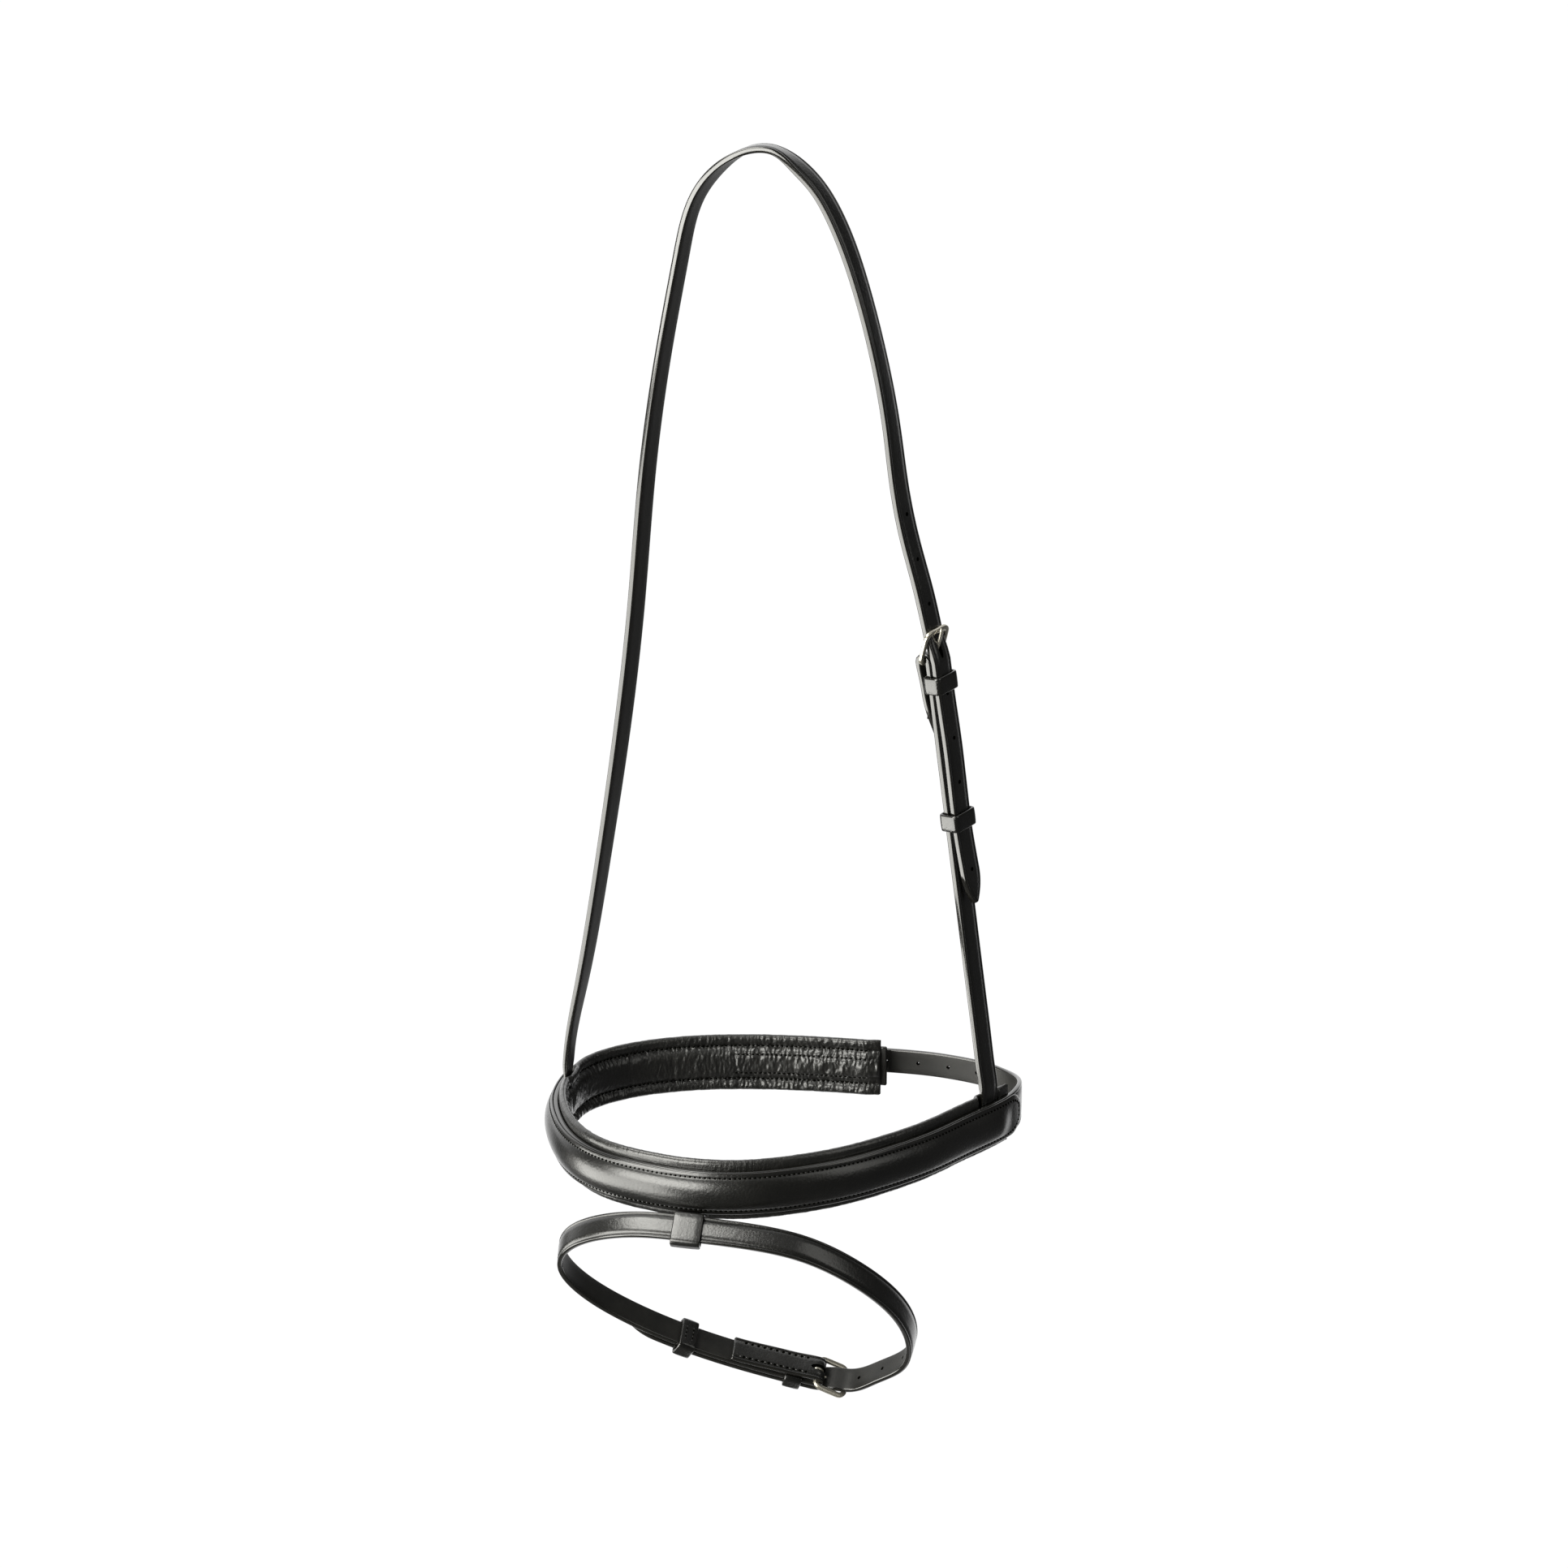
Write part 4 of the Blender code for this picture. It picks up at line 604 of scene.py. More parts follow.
FRAME_SIDES = 20
TONGUE_SIDES = 14
HOOK_STEPS = 24
SHANK_STEPS = 8
TIP_STEPS = 4
PUNCHED = 0.00115  # radius of a hole that isn't in use
WAIST = 0.16  # share of it that is left in the middle
PINCHED = 0.56  # share of the pad's depth that is left at its two ends
FOOT_LOW = 0.006  # down from the middle, where the swelling over a foot starts
FOOT_OVER = 0.008  # and the height over which it grows
FOOT_SWELL = 0.0011
FOOT_DENT = 0.0026
SWELL_FADE = 0.0030

CAMERA_AZIMUTH = math.radians(12.0)
CAMERA_PITCH = math.radians(17.3)
CAMERA_PLACE = (0.39447, -1.80748, 0.26125)
CAMERA_LENS = 88.88
LIT_MIDDLE = (0.0, 0.0, -0.42)
WARM_WHITE = (1.0, 0.99, 0.935)
ROOM_LIGHT = 0.05  # of the dark room, as the leather mirrors it
CEILING_LIGHT = 0.15
BACKDROP_LIGHT = 0.95
PLAIN_LIGHT = 0.12  # from all round, on what isn't glossy
FLOOR_LEVEL = -1.9
FLOOR_REACH = 40.0

# the last slot holds painted shade: the near-black finish of the walls of punched holes
GRAIN, EDGE, FLESH, HOLE_SHADE = 0, 1, 2, 3
LEATHER, SOFT, METAL = "strap_leather", "lining_leather", "nickel"


class Value:
    """A number, a colour or a way in a material, which can be written in sums."""

    def __init__(self, finish, socket):
        self.finish, self.socket = finish, socket

    def sum(self, operation, first, second):
        return self.finish.node("ShaderNodeMath", {"operation": operation}, [first, second])

    def __add__(self, other):
        return self.sum("ADD", self, other)

    def __sub__(self, other):
        return self.sum("SUBTRACT", self, other)

    def __mul__(self, other):
        return self.sum("MULTIPLY", self, other)

    def __rsub__(self, other):
        return self.sum("SUBTRACT", other, self)

    __radd__ = __add__
    __rmul__ = __mul__

    def over(self, low, high):
        """Goes from 0 to 1 as this goes from low to high."""
        return self.finish.node("ShaderNodeMapRange", {"interpolation_type": "SMOOTHSTEP"},
                                {"Value": self, "From Min": low, "From Max": high})


class Finish:
    """A material in the making."""

    def __init__(self, name, roughness=0.5, metallic=0.0, coat=0.0, coat_roughness=0.2,
                 specular=0.5, sheen=0.0):
        self.material = bpy.data.materials.new(name)
        self.material.use_nodes = True
        self.tree = self.material.node_tree
        self.shader = self.tree.nodes["Principled BSDF"]
        for socket, value in (("Roughness", roughness), ("Metallic", metallic),
                              ("Coat Weight", coat), ("Coat Roughness", coat_roughness),
                              ("Specular IOR Level", specular), ("Sheen Weight", sheen)):
            self.shader.inputs[socket].default_value = value

    @classmethod
    def of_tree(cls, tree):
        """For nodes that aren't a material's, such as the surround's."""
        finish = cls.__new__(cls)
        finish.tree = tree
        return finish

    def node(self, kind, settings=(), values=(), output=0):
        """Any node: its type, its settings, and the values or links of its sockets."""
        node = self.tree.nodes.new(kind)
        for key, setting in dict(settings).items():
            setattr(node, key, setting)
        pairs = values.items() if isinstance(values, dict) else enumerate(values)
        for key, value in pairs:
            if isinstance(value, Value):
                self.tree.links.new(value.socket, node.inputs[key])
            else:
                node.inputs[key].default_value = value
        return Value(self, node.outputs[output])

    def feed(self, socket, value):
        self.tree.links.new(value.socket, self.shader.inputs[socket])

    def colour(self, share, low, high):
        """Base colour, from low where the share is 0 to high where it is 1."""
        self.feed("Base Color", self.blend(share, low, high))

    def rough(self, level, *parts):
        """Roughness about a level; each part is a value from 0 to 1 and how far it spreads."""
        for value, spread in parts:
            level = level + (value - 0.5) * spread
        self.feed("Roughness", level)

    def rays(self):
        """1 for a ray from the camera, for a mirrored one and for one through glass."""
        return [self.node("ShaderNodeLightPath", output=kind)
                for kind in ("Is Camera Ray", "Is Glossy Ray", "Is Transmission Ray")]

    def noise(self, where, scale, detail=2.0, rough=0.5):
        return self.node("ShaderNodeTexNoise", {},
                         {"Vector": where, "Scale": scale, "Detail": detail, "Roughness": rough})

    def cells(self, where, scale):
        return self.node("ShaderNodeTexVoronoi", {"feature": "SMOOTH_F1"},
                         {"Vector": where, "Scale": scale, "Smoothness": 0.6})

    def place(self):
        return self.node("ShaderNodeTexCoord", output="Object")

    def stretched(self, where, scale):
        return self.node("ShaderNodeMapping", {}, {"Vector": where, "Scale": scale})

    def laid(self, across, along):
        """Where a point is on the strap, from its length and its girth, stretched."""
        place = self.node("ShaderNodeTexCoord", output="UV")
        return self.stretched(place, (along, across, 1.0))

    def blend(self, share, low, high):
        return self.node("ShaderNodeMix", {"data_type": "RGBA"},
                         {"Factor": share, 6: (*low, 1.0), 7: (*high, 1.0)}, 2)

    def bump(self, height, strength, distance):
        normal = self.node("ShaderNodeBump", {},
                           {"Height": height, "Strength": strength, "Distance": distance})
        self.feed("Normal", normal)


def bridle_leather(name, roughness, coat_roughness):
    """Curried black leather: a fine grain, uneven dressing and a soft polish."""
    finish = Finish(name, coat=0.95, coat_roughness=coat_roughness)
    where = finish.place()
    soft = finish.noise(where, 45.0, 3.0)
    fine = finish.noise(where, GRAIN_SCALE, 3.0, 0.6)
    pores = finish.cells(where, GRAIN_SCALE * 1.3)
    finish.colour(soft.over(0.35, 0.75), (0.0035, 0.0035, 0.0028), (0.0065, 0.0063, 0.0052))
    finish.rough(roughness, (soft, 0.16), (fine, 0.14))
    finish.bump(fine * 0.6 + pores * 0.5 + finish.noise(where, GRAIN_SCALE / 5) * 0.7, 0.7, 0.0003)
    return finish.material


def flesh_leather():
    """The unpolished back of a strap."""
    finish = Finish("flesh_side", coat=0.15, coat_roughness=0.5, specular=0.35)
    where = finish.place()
    blotch = finish.noise(where, 70.0, 4.0, 0.6)
    fibre = finish.noise(where, 1500.0, 3.0, 0.65)
    finish.colour(blotch.over(0.3, 0.75), (0.006, 0.006, 0.005), (0.014, 0.0135, 0.0115))
    finish.rough(0.52, (fibre, 0.2), (blotch, 0.16))
    finish.bump(fibre + blotch * 0.8, 0.5, 0.00008)
    return finish.material


def edge_leather():
    """A burnished and dyed edge."""
    finish = Finish("burnished_edge", coat=1.0, coat_roughness=0.07)
    layers = finish.noise(finish.laid(2600.0, 60.0), 1.0)
    fine = finish.noise(finish.place(), 900.0)
    finish.colour(layers.over(0.3, 0.8), (0.005, 0.005, 0.004), (0.012, 0.011, 0.009))
    finish.rough(0.17, (fine, 0.12))
    finish.bump(layers * 0.6 + fine * 0.5, 0.12, 0.00003)
    return finish.material


def lining_leather():
    """Soft lining, creased across where it is drawn in by the stitches."""
    finish = Finish("soft_lining", coat=1.0, coat_roughness=0.22)
    where = finish.place()
    crossways = finish.noise(finish.laid(260.0, 620.0), 1.0, 3.0, 0.6)
    pebble = finish.cells(where, 1000.0)
    soft = finish.noise(where, 60.0, 3.0)
    finish.colour(soft.over(0.35, 0.75), (0.005, 0.005, 0.004), (0.010, 0.0096, 0.008))
    finish.rough(0.42, (soft, 0.2), (crossways, 0.2))
    finish.bump(crossways + pebble * 0.3, 0.9, 0.00055)
    return finish.material


def thread_finish():
    """Waxed black thread."""
    finish = Finish("waxed_thread", coat=1.0, coat_roughness=0.24)
    twist = finish.noise(finish.place(), 2400.0)
    finish.colour(twist.over(0.3, 0.7), (0.006, 0.006, 0.005), (0.024, 0.023, 0.020))
    finish.rough(0.34, (twist, 0.2))
    finish.bump(twist, 0.6, 0.00004)
    return finish.material


def painted_hole_shade_finish():
    """Painted shade: near black and without gloss, standing for the shade inside a stitch hole or a
    punched one.
    """
    finish = Finish("stitch_hole_painted_shade", roughness=0.95, specular=0.0)
    speck = finish.noise(finish.place(), 1800.0)
    finish.colour(speck, (0.001, 0.001, 0.001), (0.004, 0.004, 0.003))
    return finish.material


def nickel_finish():
    """Nickel plate, polished and slightly warm, with fine handling marks."""
    finish = Finish("nickel_plate", metallic=0.82)
    where = finish.place()
    cloud = finish.noise(where, 120.0, 3.0)
    marks = finish.noise(finish.stretched(where, (400.0, 2600.0, 900.0)), 1.0, 3.0, 0.6)
    finish.colour(cloud.over(0.3, 0.75), (0.50, 0.47, 0.39), (0.66, 0.63, 0.55))
    finish.rough(0.22, (cloud, 0.1), (marks, 0.1))
    finish.bump(marks, 0.25, 0.00002)
    return finish.material


def made(name, points, faces, finishes):
    """A new piece from its points and faces."""
    mesh = bpy.data.meshes.new(name)
    mesh.from_pydata([tuple(point) for point in points], [], faces)
    for finish in finishes:
        mesh.materials.append(finish)
    item = bpy.data.objects.new(name, mesh)
    bpy.context.scene.collection.objects.link(item)
    return item


def tube_faces(base, around, levels):
    """Faces of a closed tube through rings of points, the first point of them at base."""
    faces = []
    for start in range(base, base + (levels - 1) * around, around):
        for j in range(around):
            n = (j + 1) % around
            faces.append((start + j, start + n, start + around + n, start + around + j))
    last = base + (levels - 1) * around
    faces.append(tuple(range(base + around - 1, base - 1, -1)))
    faces.append(tuple(range(last, last + around)))
    return faces


def skin(name, rings, lengths, kinds, finishes, looped=False):
    """A closed skin through rings of points. Each strip round it has a kind of finish."""
    rings = np.array(rings)
    count, around = rings.shape[:2]
    girth = [np.zeros(count)]
    for j in range(around):
        step = np.linalg.norm(rings[:, (j + 1) % around] - rings[:, j], axis=1)
        girth.append(girth[-1] + step)
    faces, slots, corners = [], [], []
    for i in range(count if looped else count - 1):
        k = (i + 1) % count
        far = lengths[k] if k else lengths[i] + STRAP_STEP
        for j in range(around):
            n = (j + 1) % around
            faces.append((i * around + j, i * around + n, k * around + n, k * around + j))
            slots.append(kinds[j])
            corners += [(lengths[i], girth[j][i]), (lengths[i], girth[j + 1][i]),
                        (far, girth[j + 1][k]), (far, girth[j][k])]
    if not looped:
        for start, i in ((0, 0), ((count - 1) * around, count - 1)):
            faces.append(tuple(range(start, start + around)))
            slots.append(max(kinds))
            corners += [(lengths[i], girth[j][i]) for j in range(around)]
    item = made(name, rings.reshape(-1, 3).tolist(), faces, finishes)
    mesh = item.data
    mesh.uv_layers.new(name="laid").data.foreach_set("uv", np.array(corners).ravel())
    mesh.polygons.foreach_set("material_index", slots)
    bm = bmesh.new()
    bm.from_mesh(mesh)
    bmesh.ops.recalc_face_normals(bm, faces=bm.faces)
    bm.to_mesh(mesh)
    bm.free()
    mesh.shade_smooth()
    return item


def rides(item, body, slot, *nodes):
    """The piece moves with this body and stands for these solids. The slot is not used."""
    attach(item, body)
    if nodes:
        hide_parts(*nodes)


def strap_section(half, thick, creased):
    """Section of a strap as (out, up) points, with the kind of the strip after each."""
    radius = min(EDGE_RADIUS, thick * 0.45, half * 0.8)
    side = []
    for step in range(4):
        angle = math.pi / 2 * step / 3
        side.append((thick / 2 - radius * (1 - math.sin(angle)),
                     half - radius * (1 - math.cos(angle))))
    grain = []
    if creased:
        fade = min(1.0, max(0.0, (half - CREASE_IN) / (3 * CREASE_HALF)))
        middle = max(half - CREASE_IN, CREASE_HALF * 1.1)
        for shift, share in ((CREASE_HALF, 0.0), (CREASE_HALF / 2, 0.6), (0.0, 1.0),
                             (-CREASE_HALF / 2, 0.6), (-CREASE_HALF, 0.0)):
            grain.append((thick / 2 - CREASE_DEPTH * share * fade, middle + shift))
    inner = (grain[-1][1] if grain else side[-1][1]) * 0.55
    grain.append((thick / 2 + CROWNING * 0.8, inner))
    upper = side + grain
    top = upper + [(thick / 2 + CROWNING, 0.0)] + [(out, -up) for out, up in reversed(upper)]
    flesh = [(-out, up) for out, up in side]
    low = [(out, -up) for out, up in flesh] + [(-thick / 2, -half * 0.4), (-thick / 2, half * 0.4)]
    low += list(reversed(flesh))
    kinds = [EDGE] * 3 + [GRAIN] * (len(top) - 7) + [EDGE] * 3
    kinds += [EDGE] * 4 + [FLESH] * (len(low) - 7) + [EDGE] * 4
    return top + low, kinds[:len(top) + len(low)]


def places_along(start, end, step, radius):
    """Lengths to put rings at, close together at both rounded ends."""
    count = max(2, int((end - start) / step))
    inner = np.linspace(start + radius, end - radius, count)
    close = [0.0, 0.12, 0.35, 0.65]
    return [start + radius * c for c in close] + list(inner) + \
        [end - radius * c for c in reversed(close)]


def end_swell(s, start, end, radius, least=0.02):
    """Share of the full thickness at a length, with both ends rounded."""
    room = min(s - start, end - s) / radius
    return math.sqrt(max(least, 1 - (1 - min(room, 1.0)) ** 2))


def laid_strap(name, route, half, thick, finishes):
    """A creased strap all along a route, with rounded edges and ends."""
    rings, kinds = [], None
    marks = places_along(0.0, route.length, STRAP_STEP, EDGE_RADIUS)
    for s in marks:
        swell = end_swell(s, 0.0, route.length, EDGE_RADIUS)
        section, kinds = strap_section(half(s) - EDGE_RADIUS * (1 - swell), thick(s) * swell, True)
        rings.append(route.lay(s, section))
    return skin(name, rings, marks, kinds, finishes)


def punch_out(item, bores, finish_index=EDGE):
    """Punch holes through a piece, one for each matrix of a round cutter and its waist."""
    around = 24
    points, faces = [], []
    for matrix, waist in bores:
        faces += tube_faces(len(points), around, 3)
        for height, radius in ((-0.5, 1.0), (0.0, waist), (0.5, 1.0)):
            points += [matrix @ Vector((radius * math.cos(turn), radius * math.sin(turn), height))
                       for turn in np.arange(around) * math.pi / (around / 2)]
    tool = made("bores", points, faces, item.data.materials)
    tool.data.polygons.foreach_set("material_index", [finish_index] * len(faces))
    cut = item.modifiers.new("holes", "BOOLEAN")
    cut.operation = "DIFFERENCE"
    cut.solver = "EXACT"
    cut.object = tool
    settled = item.evaluated_get(bpy.context.evaluated_depsgraph_get())
    result = bpy.data.meshes.new_from_object(settled)
    item.modifiers.clear()
    item.data = result
    bpy.data.objects.remove(tool)
    item.data.set_sharp_from_angle(angle=math.radians(50))
    return item


def bore(matrix, across, along, depth, waist=1.0):
    return matrix @ Matrix.Diagonal((along, across, depth, 1.0)), waist


def punched(item, buckle, route, spacing, before, after, bores=()):
    """Punch the holes of a billet, and the one in use, which its tongue has drawn long. Their walls
    take the near-black finish of painted shade.
    """
    entry = route.nearest(buckle.place(*buckle.stops[0]))
    used, ahead = buckle.crossing(route, entry, route.length)
    row = []
    for s in [used + spacing * k for k in range(-before, after + 1) if k]:
        matrix = frame_matrix(route.place(s), *route.axes(s))
        row.append(bore(matrix, PUNCHED, PUNCHED, buckle.billet_thick + 2 * FIT, WAIST))
    return punch_out(item, row + [used_bore(buckle, ahead)] + list(bores), HOLE_SHADE)


def used_bore(buckle, ahead):
    """The hole in use, drawn long by the tongue."""
    start, end = buckle.tongue_line()
    way = (end - start) / np.linalg.norm(end - start)
    side = np.array([-way[1], way[0]])
    lift = (ahead + 3 * buckle.billet_thick) * math.sin(2 * BUCKLE_PLAY)
    spot = start + way * (ahead + lift) + side * lift / 2
    z_axis = way[0] * buckle.u_axis + way[1] * buckle.normal
    x_axis = side[0] * buckle.u_axis + side[1] * buckle.normal
    origin = buckle.centre + spot[0] * buckle.u_axis + spot[1] * buckle.normal
    matrix = frame_matrix(origin, x_axis, np.cross(z_axis, x_axis), z_axis)
    radius = TONGUE_RADIUS + FIT
    return bore(matrix, radius, radius + lift / 2 + FIT, 4 * HEAD_THICK)


def slot_bore(buckle):
    """The slot that the tongue's hook turns in, at the turn of a strap."""
    clear = buckle.ring_radius + TONGUE_RADIUS + 2 * FIT
    reach = buckle.wrap_radius + buckle.wrap_thick / 2 + OVERRUN
    middle = buckle.matrix() @ Matrix.Translation(((reach - clear) / 2, 0.0, 0.0))
    return bore(middle, TONGUE_RADIUS + SLIDE_FIT + FIT, (reach + clear) / 2, 2 * reach)


def keeper(name, body, node, buckle, u, low, high, room, inner_wall, finishes):
    """A keeper: a band of leather round the straps, with rounded edges."""
    run, across, normal = buckle.base.axes(buckle.s + buckle.way * u)
    half = buckle.width / 2 + room
    path = round_path(-half, half, low - room, high + room, KEEPER_CORNER)

    def wall(way):
        return KEEPER_WALL + (inner_wall - KEEPER_WALL) * max(0.0, -way[1])

    item = band(name + "_leather", path, (buckle.place(u), across, normal, run), KEEPER_WIDTH, wall,
                finishes)
    rides(item, body, LEATHER, node)


def two_keepers(name, body, buckle, fixed_at, runner_at, spread, room, finishes):
    """The fixed keeper beside a buckle, and the loose one further along."""
    thick = buckle.billet_thick
    low, high = -thick / 2, thick + 2 * FIT + thick / 2
    keeper(name + "_keeper", body, name + "_keeper", buckle, -fixed_at, low, high, FIT,
           KEEPER_INNER_WALL, finishes)
    keeper(name + "_runner", name + "_runner", name + "_running_keeper", buckle, -runner_at, low,
           high + spread, room, KEEPER_WALL, finishes)


def round_path(left, right, low, high, corner, steps=6, sides=5):
    """A box with round corners, as (x, y, outward x, outward y), in order."""
    left, right, low, high = left + corner, right - corner, low + corner, high - corner
    arcs = []
    for quarter, (x, y) in enumerate(((right, high), (left, high), (left, low), (right, low))):
        turns = [(quarter + step / steps) * math.pi / 2 for step in range(steps + 1)]
        arcs.append([(x + corner * math.cos(turn), y + corner * math.sin(turn),
                      math.cos(turn), math.sin(turn)) for turn in turns])
    path = []
    for arc, following in zip(arcs, arcs[1:] + arcs[:1]):
        x0, y0, *way = arc[-1]
        x1, y1 = following[0][:2]
        path += arc + [(x0 + (x1 - x0) * (k / sides), y0 + (y1 - y0) * (k / sides), *way)
                       for k in range(1, sides)]
    return path


def band(name, path, axes, broad, wall, finishes):
    """Leather of a keeper or a loop, along a path in the plane across the strap."""
    middle, across, normal, run = axes
    line, rings = [], []
    for x, y, *way in path:
        thick = wall(way)
        section, kinds = strap_section(broad / 2, thick, False)
        base = np.array(middle) + x * across + y * normal
        outward = way[0] * across + way[1] * normal
        line.append(base)
        rings.append([base + (out + thick / 2) * outward + up * run for out, up in section])
    return skin(name, rings, lengths_along(line), kinds, finishes, looped=True)


def buckle_frame(name, buckle, finish):
    """Frame of a buckle: round at the bar, broad and flat-faced towards the far end."""
    side = buckle.width / 2 + BUCKLE_SIDE_ROOM + WIRE_RADIUS
    along = Vector((buckle.along[0], 0.0, buckle.along[1]))
    above = Vector((buckle.above[0], 0.0, buckle.above[1]))
    bar = BAR_SHARE * WIRE_RADIUS
    line, rings = [], []
    for x, y, *way in round_path(0.0, buckle.reach, -side, side, BUCKLE_CORNER, 8, 8):
        share = ease(2 * x / buckle.reach)
        broad = bar + (FRAME_BROAD - bar) * share
        flat = bar + (FRAME_FLAT - bar) * share
        spot = along * x + Vector((0.0, y, 0.0))
        outward = along * way[0] + Vector((0.0, way[1], 0.0))
        ring = []
        for step in range(FRAME_SIDES):
            angle = 2 * math.pi * step / FRAME_SIDES
            c, s = (math.copysign(abs(value) ** SQUARENESS, value)
                    for value in (math.cos(angle), math.sin(angle)))
            ring.append(buckle.matrix() @ (spot + outward * broad * c + above * flat * s))
        line.append(spot)
        rings.append(ring)
    return skin(name, rings, lengths_along(line), [0] * FRAME_SIDES, [finish], looped=True)


def buckle_tongue(name, buckle, finish):
    """Tongue of a buckle: hooked round the bar, with a rounded tip."""
    line = []
    for step in range(HOOK_STEPS + 1):
        angle = TONGUE_HOOK * (1 - step / HOOK_STEPS)
        way = buckle.above * math.cos(angle) - buckle.along * math.sin(angle)
        line.append(buckle.ring_radius * way)
    start, end = buckle.tongue_line()
    tip = end + buckle.along * TONGUE_PAST - buckle.above * TONGUE_PAST * TIP_DIP_SHARE
    line += [start + (end - start) * k / SHANK_STEPS for k in range(1, SHANK_STEPS + 1)]
    line += [end + (tip - end) * k / TIP_STEPS for k in range(1, TIP_STEPS + 1)]
    line = np.array(line)
    runs = np.gradient(line, axis=0)
    rings = []
    for i, spot in enumerate(line):
        run = runs[i] / np.linalg.norm(runs[i])
        blunt = 1 - min(1.0, (len(line) - 1 - i) / TIP_STEPS)
        radius = TONGUE_RADIUS * math.sqrt(max(0.06, 1 - blunt ** 2))
        across = np.array([-run[1], 0.0, run[0]])
        middle = np.array([spot[0], 0.0, spot[1]])
        turns = [2 * math.pi * step / TONGUE_SIDES for step in range(TONGUE_SIDES)]
        rings.append([buckle.matrix() @ Vector(middle + across * radius * math.cos(turn)
                                               + np.array([0.0, radius * math.sin(turn), 0.0]))
                      for turn in turns])
    return skin(name, rings, lengths_along(line), [0] * TONGUE_SIDES, [finish])


def buckle_pieces(name, buckle, look):
    """The frame and the tongue of a buckle, each on its own body."""
    for part, make in (("_frame", buckle_frame), ("_tongue", buckle_tongue)):
        wire = make(name + part + "_wire", buckle, look["nickel"])
        rides(wire, name + part, METAL, name + "_buckle" + part)


def beads(name, spots, long, thick, finish, sink, flat):
    """Small rounded pieces, such as stitches, at spots of (place, run, out)."""
    around, levels = 8, 7
    ball = []
    for i in range(levels):
        lean = math.pi * (i + 0.5) / levels
        for j in range(around):
            turn = 2 * math.pi * j / around
            ball.append((-math.cos(lean) * long / 2, math.sin(lean) * math.cos(turn) * thick,
                         math.sin(lean) * math.sin(turn) * thick * flat))
    points, faces = [], []
    for place, run, out in spots:
        run = run / np.linalg.norm(run)
        side = np.cross(out, run)
        faces += tube_faces(len(points), around, levels)
        points += [place + a * run + b * side + (c - sink) * out for a, b, c in ball]
    item = made(name, points, faces, [finish])
    item.data.shade_smooth()
    return item


def evenly(line, pitch, lean=0.0, shift=0.0):
    """Spots every so far along a line of (place, run, out); lean turns each one."""
    spots = []
    gone, due = 0.0, pitch * (0.5 + shift)
    for (p0, r0, o0), (p1, r1, o1) in zip(line, line[1:]):
        step = np.linalg.norm(p1 - p0)
        while step and gone + step >= due:
            share = (due - gone) / step
            out = o0 + (o1 - o0) * share
            out = out / np.linalg.norm(out)
            run = p1 - p0
            run = run - run.dot(out) * out
            run = run / np.linalg.norm(run)
            side = np.cross(out, run)
            leant = run * math.cos(lean) + side * math.sin(lean)
            spots.append((p0 + (p1 - p0) * share, leant, out))
            due += pitch
        gone += step
    return spots


def sewn(name, line, pitch, body, finishes, lean=0.5, slot=LEATHER, bold=1.0):
    """A row of stitches: slanted threads, and dark beads of painted shade at the awl holes that
    they go into.
    """
    thread, dark = finishes
    rides(beads(name + "_thread", evenly(line, pitch, -lean), pitch * THREAD_LONG,
                THREAD * THREAD_HALF, thread, 0.0, THREAD_FLAT), body, slot)
    # dark beads between the threads: painted shade where the awl holes are
    rides(beads(name + "_holes", evenly(line, pitch, lean, 0.5), pitch * AWL_LONG / bold,
                AWL * bold, dark, AWL_SINK, AWL_FLAT), body, slot)


def two_rows(name, route, start, end, thick, up, body, finishes, bold=1.0):
    """Two rows of stitches side by side, where the end of a strap is sewn down."""
    for number, side in enumerate((up, -up)):
        line = strap_line(route, start, end, thick / 2 + THREAD * THREAD_OUT, side)
        sewn(f"{name}_seam_{number}", line, STRAP_PITCH, body, finishes, bold=bold)


def cross_line(buckle, u, out):
    """A row across the inner wall of a keeper, where its ends are joined."""
    across, normal = buckle.base.axes(buckle.s + buckle.way * u)[1:]
    return [(buckle.place(u, out, up), across, -normal)
            for up in np.linspace(-JOINT_REACH, JOINT_REACH, 12)]


def strap_line(route, start, end, out, up):
    """A straight row on a strap, from one length to another."""
    count = max(2, int(abs(end - start) / 0.001))
    return [route.spot(start + (end - start) * i / count, out, up) for i in range(count + 1)]


def bell(away, reach):
    """1 in the middle, and falling off smoothly on both sides."""
    return math.exp(-(away / reach) ** 2)


def facing_rise(up, s):
    """How far out the raised facing's outer face lies, with its rows of stitches sunk in."""
    flat = BASE_THICK / 2 + FIT + FACING_THICK
    room = facing_room(s) - FACING_END_ROUND
    swell = max(0.0, 1 - (2 * up / DOME_WIDTH) ** 2) ** DOME_SHAPE
    face = flat + (DOME_RISE + DOME_PLUMP) * swell * ease(room / DOME_FADE)
    away = facing_half(s) - abs(up) - SEAM_IN
    face -= FLANGE_PRESS * ease(-away / SEAM_IN)
    room_end = facing_room(s) - SEAM_IN
    if room_end < abs(away) and away > 0:
        away = room_end
    return face - SEAM_GROOVE * bell(away, SEAM_HALF * 0.6)


